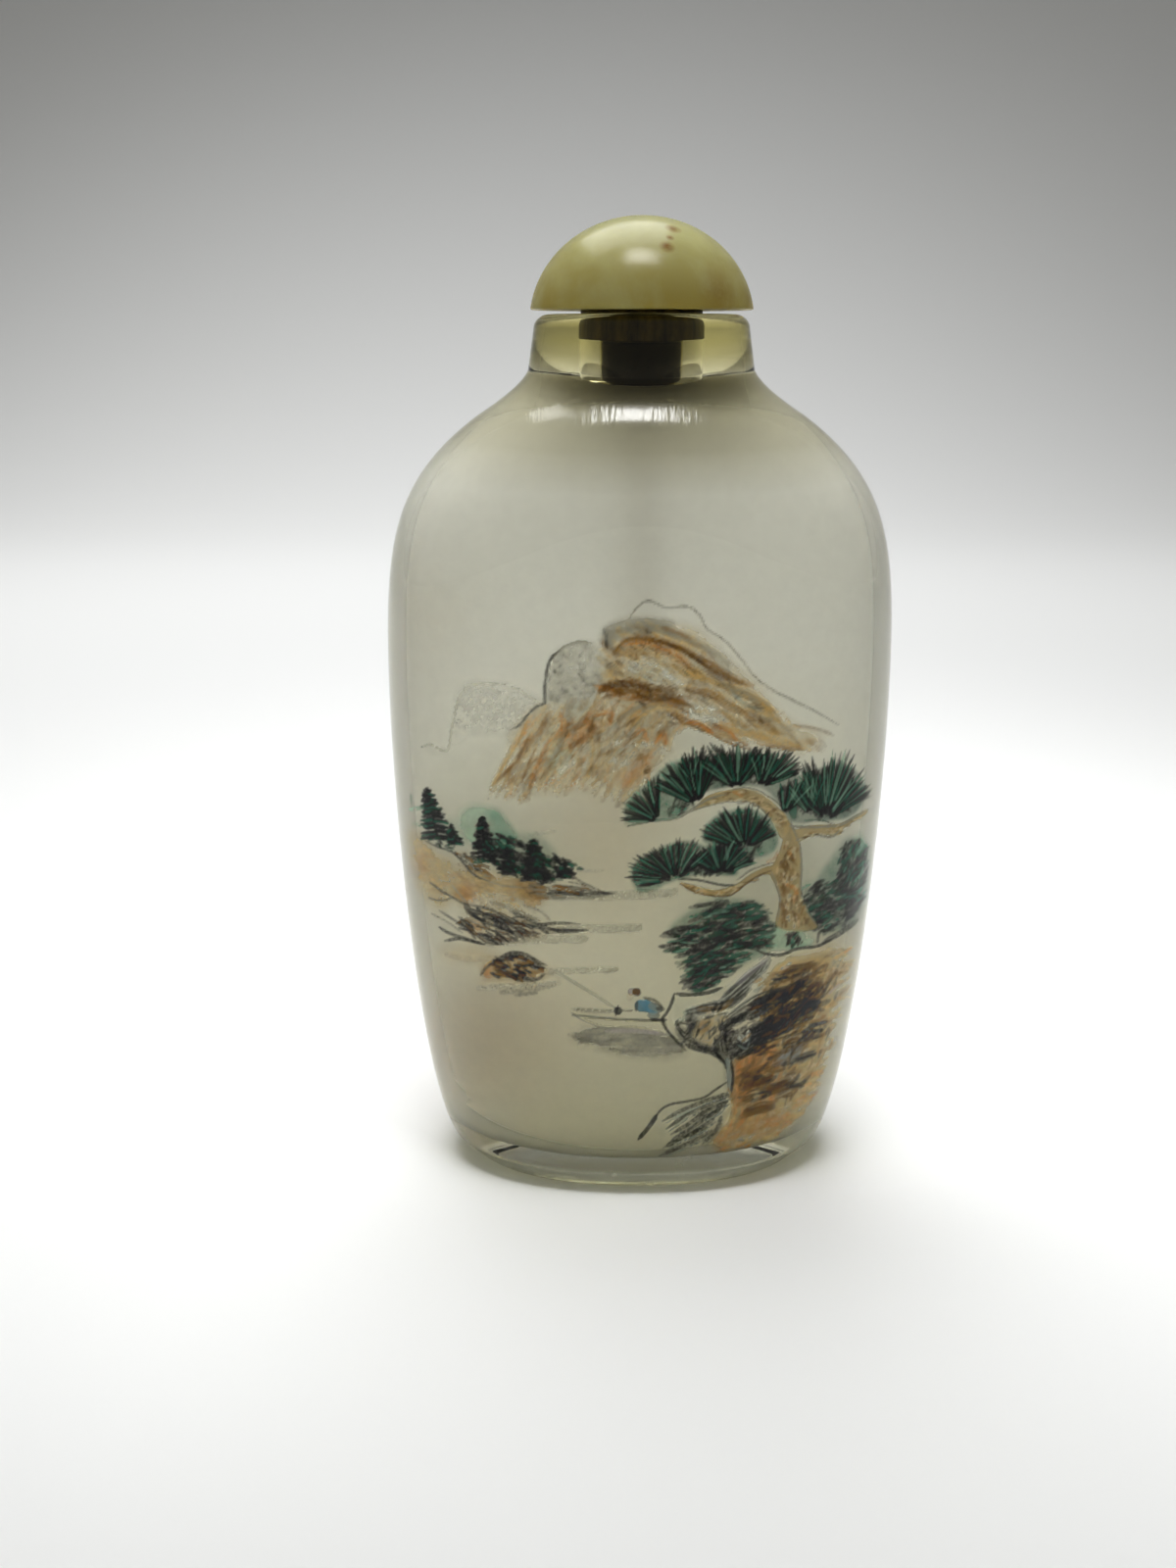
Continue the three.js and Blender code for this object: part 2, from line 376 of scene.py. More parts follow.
def flankAndShoulder(steps):
    b = bottle
    body, ridge, shoulder = b["width"] / 2, b["ridgeWidth"] / 2, b["shoulderWidth"] / 2
    belly, foot = b["bellyHeight"], b["ridgeHeight"]
    rise, up = belly - foot, b["shoulderHeight"] - belly
    flank = bend([
        (ridge, foot),
        (ridge + 0.6 * (body - ridge), foot + 0.13 * rise),
        (body, belly - 0.35 * rise),
        (body, belly),
    ], steps)
    arch = bend([
        (body, belly),
        (body, belly + 0.52 * up),
        (shoulder + 0.885 * (body - shoulder), belly + 0.757 * up),
        (shoulder, b["shoulderHeight"]),
    ], steps)
    return flank, arch


def frontProfile():
    # half depth and height above the belly: nearly flat, then leaning back to the neck
    b = bottle
    deep, front, neck = b["depth"] / 2, b["frontShoulderDepth"] / 2, b["neckWidth"] / 2
    belly, top = b["bellyHeight"], b["frontShoulderHeight"]
    rise, neckRise = top - belly, b["neckRootHeight"] - top
    lower = bend([
        (deep, belly),
        (deep, belly + 0.65 * rise),
        (front + 0.95 * (deep - front), belly + 0.915 * rise),
        (front, top),
    ], 60)
    upper = bend([
        (front, top),
        (neck + 0.23 * (front - neck), top + 0.375 * neckRise),
        (neck, b["neckRootHeight"]),
    ], 20)
    return np.vstack([lower, upper[1:]])


def insetLine(line, distance):
    along = np.gradient(line, axis=0)
    along /= np.linalg.norm(along, axis=1)[:, None]
    return line + distance * np.stack([-along[:, 1], along[:, 0]], 1)


def outsideRows():
    # columns: half width, half depth, squareness, height
    b = bottle
    body, neck, foot, ridge = (b[key] / 2 for key in ("width", "neckWidth", "footWidth", "ridgeWidth"))
    bodyDeep, footDeep, ridgeDeep = (b[key] / 2 for key in ("depth", "footDepth", "ridgeDepth"))
    flank, arch = flankAndShoulder(44)
    rim = foot - b["footRim"]
    base = softCorners([
        (0.01, b["footHollow"]),
        (rim - b["footHollow"], b["footHollow"]),
        (rim, 0),
        (foot, 0),
        (ridge, b["ridgeHeight"]),
        tuple(flank[3]),
    ], b["footEase"])
    top = arch[-1]
    sweep = bend([
        top,
        (neck + 0.14 * (top[0] - neck), top[1] + 0.63 * (b["neckRootHeight"] - top[1])),
        (neck, b["neckRootHeight"]),
    ], 14)
    lipCentre = (b["neckTopWidth"] / 2 - b["lipRound"], b["height"] - b["lipRound"])
    lip = quarterRound(lipCentre, b["lipRound"], 0, 90, 12)
    line = np.vstack([base, flank[4:], arch[1:], sweep[1:], lip])
    halfWidth, height = line[:, 0], line[:, 1]
    low, upper = height < b["ridgeHeight"] + 0.01, height > b["bellyHeight"]
    baseDepth = np.interp(halfWidth, [0, rim, foot, ridge], [0, footDeep - b["footRim"], footDeep, ridgeDeep])
    flankDepth = np.interp(halfWidth, [ridge, body], [ridgeDeep, bodyDeep])
    front = frontProfile()
    shoulderDepth = np.interp(height, front[:, 1], front[:, 0])
    shoulderDepth = np.where(height > b["neckRootHeight"], halfWidth, shoulderDepth)
    halfDepth = np.where(low, baseDepth, np.where(upper, shoulderDepth, flankDepth))
    square = np.where(upper, np.interp(halfWidth, [neck, body], [2, b["squareness"]]), b["squareness"])
    return np.stack([halfWidth, halfDepth, square, height], 1)


def insideRows():
    b = bottle
    bore, half, deep = b["bore"] / 2, b["width"] / 2 - b["wall"], b["depth"] / 2 - b["wall"]
    mouth = (bore + b["boreEase"], b["height"] - b["boreEase"])
    throat = np.vstack([
        quarterRound(mouth, b["boreEase"], 90, 180, 5),
        [(bore, height) for height in np.linspace(mouth[1], b["boreRoot"], 8)[1:]],
    ])
    flank, arch = flankAndShoulder(44)
    archIn, flankIn = insetLine(arch, b["wall"])[::-1], insetLine(flank, b["wall"])[::-1]
    ceiling = bend(
        [(bore, b["boreRoot"]),
         ((bore + archIn[0][0]) / 2, b["boreRoot"] - 0.2 * (b["boreRoot"] - archIn[0][1])),
         archIn[0]],
        14,
    )[1:-1]
    sides = np.vstack([archIn, flankIn[1:]])
    sides = sides[sides[:, 1] > b["floor"] + b["floorRound"]]
    floorCentre = (sides[-1][0] - 0.3 - b["floorRound"], b["floor"] + b["floorRound"])
    line = np.vstack([
        throat, ceiling, sides,
        quarterRound(floorCentre, b["floorRound"], 0, -90, 12)[1:],
        [(floorCentre[0] * share, b["floor"]) for share in (0.66, 0.33, 0.01)],
    ])
    share = np.clip((line[:, 0] - bore) / (half - bore), 0, 1)
    halfDepth = bore + (deep - bore) * share ** 0.8
    inCore = line[:, 0] < bore
    halfDepth = np.where(inCore, line[:, 0], halfDepth)
    floorRow = line[:, 1] <= b["floor"] + 1e-6
    edge = np.argmax(floorRow)
    halfDepth[edge:] = halfDepth[edge] * line[edge:, 0] / line[edge, 0]
    square = np.where(inCore & ~floorRow, 2, 2 + (b["squareness"] - 2) * share)
    square[edge:] = square[edge]
    return np.stack([line[:, 0], halfDepth, square, line[:, 1]], 1)


def outlineAt(rows, turns):
    # x and y of points at these turns round each row's outline
    c, s = np.cos(turns), np.sin(turns)
    square = rows[:, 2][:, None]
    reach = (np.abs(c) ** square + np.abs(s) ** square) ** (-1 / square)
    return rows[:, 0][:, None] * reach * c, rows[:, 1][:, None] * reach * s


def meshPiece(name, points, faces, materials, faceSlots=None):
    mesh = bpy.data.meshes.new(name)
    mesh.from_pydata([tuple(p) for p in np.asarray(points) * mm], [], faces)
    for material in materials:
        mesh.materials.append(material)
    if faceSlots is not None:
        mesh.polygons.foreach_set("material_index", np.asarray(faceSlots, np.int32))
    mesh.polygons.foreach_set("use_smooth", np.ones(len(mesh.polygons), bool))
    mesh.update()
    piece = bpy.data.objects.new(name, mesh)
    bpy.context.scene.collection.objects.link(piece)
    return piece


def ringPoints(rows, x, y):
    # one point for each turn of each row
    height = np.repeat(rows[:, 3][:, None], x.shape[1], 1)
    return np.stack([x, y, height], 2).reshape(-1, 3)


def ringFaces(count, sides):
    faces = []
    for low in range(0, (count - 1) * sides, sides):
        for side in range(sides):
            after = (side + 1) % sides
            faces.append((low + side, low + after, low + sides + after, low + sides + side))
    return faces


def skinOver(name, rows, sides, materials, slotOfRow=None):
    # a closed skin over stacked outlines, with a point at each end
    turns = np.linspace(0, 2 * math.pi, sides, endpoint=False)[None, :]
    count = len(rows)
    ends = [(0, 0, rows[0, 3]), (0, 0, rows[-1, 3])]
    points = np.vstack([ringPoints(rows, *outlineAt(rows, turns)), ends])
    faces = ringFaces(count, sides)
    for side in range(sides):
        after = (side + 1) % sides
        faces.append((count * sides, after, side))
        faces.append((count * sides + 1, (count - 1) * sides + side, (count - 1) * sides + after))
    slots = np.zeros(count, int) if slotOfRow is None else slotOfRow
    faceSlots = np.concatenate([np.repeat(slots[:-1], sides), np.tile([slots[0], slots[-1]], sides)])
    return meshPiece(name, points, faces, materials, faceSlots)


def standFor(piece, node):
    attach(piece, "root")
    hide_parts(node)
    return piece


def makeBottle():
    outside, inside = outsideRows(), insideRows()
    rows = np.vstack([outside, inside])
    # the finish changes a little above the ridge outside, and at the bore's lower end inside
    finish = np.where(rows[:, 3] < bottle["ridgeHeight"] + bottle["finishEase"], 2, 0)
    finish[len(outside):] = inside[:, 3] < bottle["boreRoot"] + bottle["finishEase"]
    materials = [polishedGlass(), groundGlass(), footGlass()]
    piece = skinOver("glassBottle", rows, bottle["sides"], materials, finish)
    return standFor(piece, "bottle")


makeBottle()
print("bottle made")

# stopper: a domed stone cap, a horn collar pressed into the bore, a cork plug and a dip spoon

capBox, collarBox, plugBox, spoonBox = (np.array(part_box(node)) / mm for node in (
    "stopper_cap", "stopper_collar", "stopper_plug", "stopper_spoon"))


def lathePiece(name, profile, sides, material, node):
    # a turned piece from its axis below to its axis above
    rows = np.array([(max(r, 0.002), max(r, 0.002), 2, z) for r, z in profile])
    return standFor(skinOver(name, rows, sides, [material]), node)


# stains are place, reach and how dark: three rust flecks in front and a wide streak at the right
cap = dict(
    undercut=1.0,
    edgeRound=0.25,
    rows=48,
    sides=128,
    # pale is the top of the stone and deep its low part: the low part's yellow-brown is its own colour, and
    # its darkening is painted shade
    pale=(0.31, 0.305, 0.15),
    deep=(0.31, 0.255, 0.075),
    cloud=(0.40, 0.39, 0.20),
    rust=(0.17, 0.085, 0.012),
    clouds=(210, 5, 0.55, 0.4),
    cloudCover=0.7,
    fray=(1500, 5, 0.7),
    stains=[
        ((2.24, -4.25, 78.81), 0.75, 1.9),
        ((1.71, -6.46, 77.41), 0.7, 1.9),
        ((1.96, -5.56, 78.1), 0.4, 1.9),
        ((5.8, -6.5, 74.2), 2.4, 0.7),
    ],
    shine=0.18,
    polish=(0.16, 0.3),
    glow=0.7,
    glowRadius=(0.9, 0.8, 0.4),
    glowDepth=4,
    waves=0.08,
    waveDepth=0.2,
)


def capMaterial():
    material, tree, shader = newMaterial("olive stone")
    place, height = positionOf(tree)
    # from the base up the stone runs from deep to pale; the darker low part is painted shade, the yellower
    # tone the stone's own
    rise = ranged(tree, height, capBox[0][2] * mm, (capBox[1][2] - 1) * mm)
    cloud, fray = noise(tree, place, *cap["clouds"]), noise(tree, place, *cap["fray"])
    body = mixColour(tree, rise, cap["deep"], cap["pale"])
    body = mixColour(tree, ranged(tree, cloud, 0.42, 0.72, 0, cap["cloudCover"]), body, cap["cloud"])
    for spot, reach, dark in cap["stains"]:
        away = distanceTo(tree, place, [v * mm for v in spot])
        near = ranged(tree, away, reach * mm, reach * mm * 0.1)
        frayed = calculate(tree, "ShaderNodeMath", "MULTIPLY", near, fray).outputs[0]
        stain = calculate(tree, "ShaderNodeMath", "MULTIPLY", frayed, dark, clamp=True).outputs[0]
        body = mixColour(tree, stain, body, cap["rust"])
    setInputs(shader, Base_Color=body, Specular_IOR_Level=cap["shine"], Subsurface_Weight=cap["glow"],
              Subsurface_Radius=cap["glowRadius"], Subsurface_Scale=cap["glowDepth"] * mm,
              Roughness=ranged(tree, fray, 0, 1, *cap["polish"]))
    addBump(tree, shader, cloud, cap["waves"], cap["waveDepth"] * mm)
    return material


def makeCap():
    wide, base, rise = capBox[1][0], capBox[0][2], capBox[1][2] - capBox[0][2] + cap["undercut"]
    start = math.asin((cap["edgeRound"] + cap["undercut"]) / rise)
    low = wide * math.sqrt(1 - (cap["undercut"] / rise) ** 2)
    profile = [(0, base), (low - cap["edgeRound"] - 0.4, base)]
    profile += bend([(low - cap["edgeRound"], base), (low + 0.02, base),
                     (wide * math.cos(start), base + cap["edgeRound"])], 5).tolist()
    profile += [(wide * math.cos(t), base - cap["undercut"] + rise * math.sin(t))
                for t in np.linspace(start, math.pi / 2, cap["rows"])[1:]]
    return lathePiece("stoneCap", profile, cap["sides"], capMaterial(), "stopper_cap")


def grainedMaterial(name, look):
    # horn, cork and bamboo share one grain, drawn out by their own amounts
    material, tree, shader = newMaterial(name)
    grain = addNode(tree, "ShaderNodeGroup", node_tree=grainGroup())
    (across, along), (least, most) = look["stretch"], look["rough"]
    setInputs(grain, Dark=look["dark"], Light=look["light"], Across=across, Along=along,
              Least_Roughness=least, Most_Roughness=most)
    setInputs(shader, Base_Color=grain.outputs["Colour"], Roughness=grain.outputs["Roughness"])
    addBump(tree, shader, grain.outputs["Relief"], 0.4, look["relief"] * mm)
    return material


collar = dict(press=0.02, edgeRound=0.12, sides=96, dark=(0.016, 0.008, 0.001), light=(0.14, 0.1, 0.022),
              stretch=(900, 240), rough=(0.25, 0.5), relief=0.05)


def makeCollar():
    # pressed into the glass, so that the bore shows it at full width
    flange, top = collarBox[1][0], collarBox[1][2]
    lip, base, edge = bottle["height"], collarBox[0][2], collar["edgeRound"]
    inBore = bottle["bore"] / 2 + collar["press"]
    profile = [
        (0, base), (inBore - 0.3, base), (inBore - 0.05, base + 0.04), (inBore, base + 0.2),
        (inBore, lip - bottle["boreEase"]), (inBore + 0.05, lip - 0.02), (flange - edge, lip + 0.005),
        (flange, lip + edge), (flange, top - 0.02), (0, top - 0.01),
    ]
    material = grainedMaterial("horn", collar)
    return lathePiece("hornCollar", profile, collar["sides"], material, "stopper_collar")


plug = dict(edgeRound=0.4, sides=96, pits=0.04, dark=(0.004, 0.0015, 0.001), light=(0.02, 0.009, 0.004),
            stretch=(1500, 1500), rough=(0.6, 0.9), relief=0.12)


def makePlug():
    wide, base, top, edge = plugBox[1][0], plugBox[0][2], plugBox[1][2], plug["edgeRound"]
    profile = [(0, base)]
    profile += quarterRound((wide - edge, base + edge), edge, -90, 0, 6).tolist()
    profile += [(wide, z) for z in np.linspace(base + edge, top - 0.15, 14)[1:]]
    profile += [(wide - 0.15, top - 0.01), (0, top - 0.01)]
    material = grainedMaterial("cork", plug)
    piece = lathePiece("corkPlug", profile, plug["sides"], material, "stopper_plug")
    pits = np.random.default_rng(5)
    for point in piece.data.vertices:
        if base + edge < point.co.z / mm < top - 0.2:
            shrink = 1 - plug["pits"] * pits.random() ** 3
            point.co.x *= shrink
            point.co.y *= shrink
    return piece


spoon = dict(thick=0.8, shaft=1.1, bowlLong=8.0, bowlWide=2.8, dish=0.25, sides=32, dark=(0.42, 0.36, 0.24),
             light=(0.6, 0.55, 0.4), stretch=(2200, 120), rough=(0.5, 0.7), relief=0.04)


def makeSpoon():
    base, top = spoonBox[0][2], spoonBox[1][2]
    sides, rows = spoon["sides"], []
    bowlEnd = base + spoon["bowlLong"]
    for z in np.concatenate([np.linspace(base + 0.01, bowlEnd, 30), np.linspace(bowlEnd + 1, top, 24)]):
        share = (z - base) / spoon["bowlLong"]
        swell = math.sin(math.pi * min(1, share) ** 0.8)
        half = max(spoon["bowlWide"] * swell, spoon["shaft"] if share > 0.5 else 0.05) / 2
        rows.append((half, spoon["thick"] / 2 * min(1, 0.3 + share), 2.4, z))
    rows = np.array(rows)
    x, y = outlineAt(rows, np.linspace(0, 2 * math.pi, sides, endpoint=False)[None, :])
    half, height = rows[:, 0][:, None], rows[:, 3][:, None]
    dish = np.clip(1 - (x / np.maximum(half, 0.01)) ** 2, 0, 1)
    inBowl = np.clip(1 - (height - base) / (spoon["bowlLong"] * 0.8), 0, 1) ** 0.5
    y = np.where(y < 0, y + spoon["dish"] * dish * inBowl * (half > 0.7), y)
    faces = ringFaces(len(rows), sides)
    faces += [tuple(range(sides))[::-1], tuple((len(rows) - 1) * sides + s for s in range(sides))]
    piece = meshPiece("bambooSpoon", ringPoints(rows, x, y), faces, [grainedMaterial("bamboo", spoon)])
    return standFor(piece, "stopper_spoon")


makeCap()
makeCollar()
makePlug()
makeSpoon()
print("stopper made")

# brushes: colours and places of the painting are in the picture's own pixels, drawn twice as fine
canvas = dict(left=400, top=592, wide=512, high=608, fine=2)


def cloudField(high, wide, cell, seed):
    # soft noise from 0 to 1, with lumps about one cell wide
    lumps = np.random.default_rng(seed).random((high // cell + 3, wide // cell + 3))
    down, across = np.arange(high) / cell, np.arange(wide) / cell
    i, j = down.astype(int), across.astype(int)
    v, u = down - i, across - j
    v, u = (v * v * (3 - 2 * v))[:, None], (u * u * (3 - 2 * u))[None, :]
    top = lumps[np.ix_(i, j)] * (1 - u) + lumps[np.ix_(i, j + 1)] * u
    low = lumps[np.ix_(i + 1, j)] * (1 - u) + lumps[np.ix_(i + 1, j + 1)] * u
    return top * (1 - v) + low * v


class Sheet:
    # one layer of paint over a window: colour times cover, and cover
    def __init__(self, window, seed):
        self.origin, self.fine = np.array([window["left"], window["top"]], float), window["fine"]
        self.high, self.wide = window["high"] * self.fine, window["wide"] * self.fine
        self.paint = np.zeros((self.high, self.wide, 4))
        self.cloud, self.tooth = self.mottled(34, 13, seed), self.mottled(3, 2, seed + 2)
        self.random = np.random.default_rng(seed + 4)

    def mottled(self, coarse, small, seed):
        lumps = cloudField(self.high, self.wide, coarse, seed)
        return lumps * 0.6 + cloudField(self.high, self.wide, small, seed + 1) * 0.4

    def place(self, points):
        return (np.asarray(points, float) - self.origin) * self.fine

    def lay(self, top, left, cover, colour):
        part = self.paint[top:top + cover.shape[0], left:left + cover.shape[1]]
        part *= 1 - cover[:, :, None]
        part[:, :, :3] += cover[:, :, None] * (np.array(colour, float) / 255)
        part[:, :, 3] += cover


def smoothLine(points, step):
    # an even line through every point, rounded between them
    points = np.asarray(points, float)
    if len(points) > 2:
        ends = np.vstack([2 * points[0] - points[1], points, 2 * points[-1] - points[-2]])
        share = np.linspace(0, 1, 9)[:-1, None]
        parts = []
        for a, b, c, d in zip(ends, ends[1:], ends[2:], ends[3:]):
            turn = (2 * a - 5 * b + 4 * c - d) * share ** 2 + (3 * b - a - 3 * c + d) * share ** 3
            parts.append(0.5 * (2 * b + (c - a) * share + turn))
        points = np.vstack(parts + [points[-1:]])
    gone = np.concatenate([[0], np.cumsum(np.linalg.norm(np.diff(points, axis=0), axis=1))])
    places = np.linspace(0, gone[-1], max(2, int(gone[-1] / step) + 1))
    return np.stack([np.interp(places, gone, points[:, 0]), np.interp(places, gone, points[:, 1])], 1)


def brushLine(sheet, points, width, colour, strength=1.0, taper=(0.4, 0.2), dry=0.0):
    # one stroke: taper gives the width at its two ends, dry how much of the wall the hairs miss
    line = smoothLine(sheet.place(points), 3.0)
    share = np.linspace(0, 1, len(line))
    swell = np.minimum(1, np.minimum(taper[0] + share * 5, taper[1] + (1 - share) * 5))
    radius = width * sheet.fine / 2 * swell
    reach = int(radius.max() + 2)
    left, top = np.maximum(0, np.floor(line.min(0)).astype(int) - reach)
    right = min(sheet.wide, int(line[:, 0].max()) + reach + 1)
    base = min(sheet.high, int(line[:, 1].max()) + reach + 1)
    if right <= left or base <= top:
        return
    cover = np.zeros((base - top, right - left))
    for a, b, ra, rb in zip(line, line[1:], radius, radius[1:]):
        fromX, fromY = (max(0, int(min(a[k], b[k]) - reach) - (left, top)[k]) for k in (0, 1))
        toX, toY = (int(max(a[k], b[k]) + reach) + 1 - (left, top)[k] for k in (0, 1))
        x = np.arange(fromX, min(toX, right - left))[None, :] + left + 0.5
        y = np.arange(fromY, min(toY, base - top))[:, None] + top + 0.5
        if x.size == 0 or y.size == 0:
            continue
        way = b - a
        along = np.clip(((x - a[0]) * way[0] + (y - a[1]) * way[1]) / max(1e-6, way @ way), 0, 1)
        away = np.hypot(x - a[0] - along * way[0], y - a[1] - along * way[1])
        part = np.clip((ra + (rb - ra) * along) - away + 0.5, 0, 1)
        window = cover[fromY:fromY + y.size, fromX:fromX + x.size]
        np.maximum(window, part, out=window)
    if dry:
        tooth = sheet.tooth[top:base, left:right]
        cover *= np.clip(1 - dry * 2.2 * np.clip(tooth - 0.3, 0, 1), 0, 1)
    sheet.lay(top, left, cover * strength, colour)


def insideShape(outline, x, y):
    inside = np.zeros(np.broadcast(x, y).shape, bool)
    for (ax, ay), (bx, by) in zip(outline, np.roll(outline, -1, axis=0)):
        if ay != by:
            inside ^= ((ay > y) != (by > y)) & (x < (bx - ax) * (y - ay) / (by - ay) + ax)
    return inside


def soften(field, reach):
    # three passes of a running mean, first down and then across
    for _ in range(3):
        for axis in (0, 1):
            size = field.shape[axis]
            total = np.concatenate([np.zeros_like(np.take(field, [0], axis)), np.cumsum(field, axis)], axis)
            high = np.minimum(np.arange(size) + reach + 1, size)
            low = np.maximum(np.arange(size) - reach, 0)
            count = (high - low).reshape((-1, 1) if axis == 0 else (1, -1))
            field = (np.take(total, high, axis) - np.take(total, low, axis)) / count
    return field


def wash(sheet, outline, colour, strength, soft, mottle, fade=None):
    # a pool of thin paint with soft, cloudy cover; fade = (from, to) in rows lets it die out
    line = smoothLine(np.vstack([sheet.place(outline), sheet.place(outline[:1])]), 4.0)
    pad = soft * sheet.fine * 3 + 2
    left, top = np.maximum(0, (line.min(0) - pad).astype(int))
    right = min(sheet.wide, int(line[:, 0].max() + pad))
    base = min(sheet.high, int(line[:, 1].max() + pad))
    if right <= left or base <= top:
        return
    x, y = np.arange(left, right)[None, :] + 0.5, np.arange(top, base)[:, None] + 0.5
    cover = insideShape(line, x, y).astype(float)
    if soft:
        cover = soften(cover, max(1, int(soft * sheet.fine)))
    cloud, tooth = sheet.cloud[top:base, left:right], sheet.tooth[top:base, left:right]
    cover *= np.clip(1 - mottle * (1.3 * cloud + 0.5 * tooth - 0.35), 0, 1)
    if fade:
        start, end = (np.array(fade, float) - sheet.origin[1]) * sheet.fine
        cover *= np.clip((end - y) / (end - start), 0, 1)
    sheet.lay(top, left, cover * strength, colour)


def pointsIn(sheet, outline, count):
    outline = np.asarray(outline, float)
    low, high = outline.min(0), outline.max(0)
    tries = sheet.random.random((count * 8, 2)) * (high - low) + low
    return tries[insideShape(outline, tries[:, 0], tries[:, 1])][:count]


def hatch(sheet, outline, count, length, slant, width, colours, strength=0.8, spread=14, dry=0.3, curl=0.12):
    # many short strokes inside an outline, leaning at slant degrees up from the right
    for spot in pointsIn(sheet, outline, count):
        lean = math.radians(slant + sheet.random.normal() * spread)
        size = length * (0.6 + 0.8 * sheet.random.random())
        way = np.array([math.cos(lean), -math.sin(lean)]) * size / 2
        bow = np.array([way[1], -way[0]]) * curl * sheet.random.normal()
        colour = colours[sheet.random.integers(len(colours))]
        brushLine(sheet, [spot - way, spot + bow, spot + way], width * (0.6 + 0.7 * sheet.random.random()),
                  colour, strength * (0.6 + 0.4 * sheet.random.random()), (0.5, 0.15), dry)


def needles(sheet, centre, rim, count, width, colours, strength=0.9, inner=0.12, ragged=0.12):
    # a pine fan: thin strokes from near the centre out to a rim line
    centre = np.array(centre, float)
    rimLine = smoothLine(rim, 1.0)
    for step in range(count):
        tip = rimLine[int((step + sheet.random.random()) / count * (len(rimLine) - 1))]
        reach = 1 - ragged * sheet.random.random() + ragged * 0.4
        start = centre + (tip - centre) * (inner + 0.3 * sheet.random.random() ** 2)
        end = centre + (tip - centre) * reach
        middle = (start + end) / 2 + sheet.random.normal(size=2) * 0.8
        colour = colours[sheet.random.integers(len(colours))]
        brushLine(sheet, [start, middle, end], width * (0.7 + 0.6 * sheet.random.random()), colour,
                  strength * (0.65 + 0.35 * sheet.random.random()), (0.8, 0.25))


# paints, as they look on the wall
paint = dict(
    ink=(34, 34, 32), black=(20, 22, 21), smoke=(98, 96, 88), grey=(128, 127, 117), violet=(118, 113, 116),
    haze=(150, 150, 146), slate=(92, 100, 98), pine=(24, 40, 34), needle=(16, 26, 22), teal=(50, 90, 78),
    mint=(104, 134, 118), leaf=(44, 72, 62), ochre=(138, 115, 72), honey=(152, 132, 86), brown=(92, 68, 38),
    rust=(136, 88, 42), umber=(66, 48, 28), tan=(158, 144, 112), cream=(196, 192, 166), pale=(196, 199, 190),
    blue=(66, 100, 118), peach=(192, 164, 128), bark=(128, 113, 80),
)

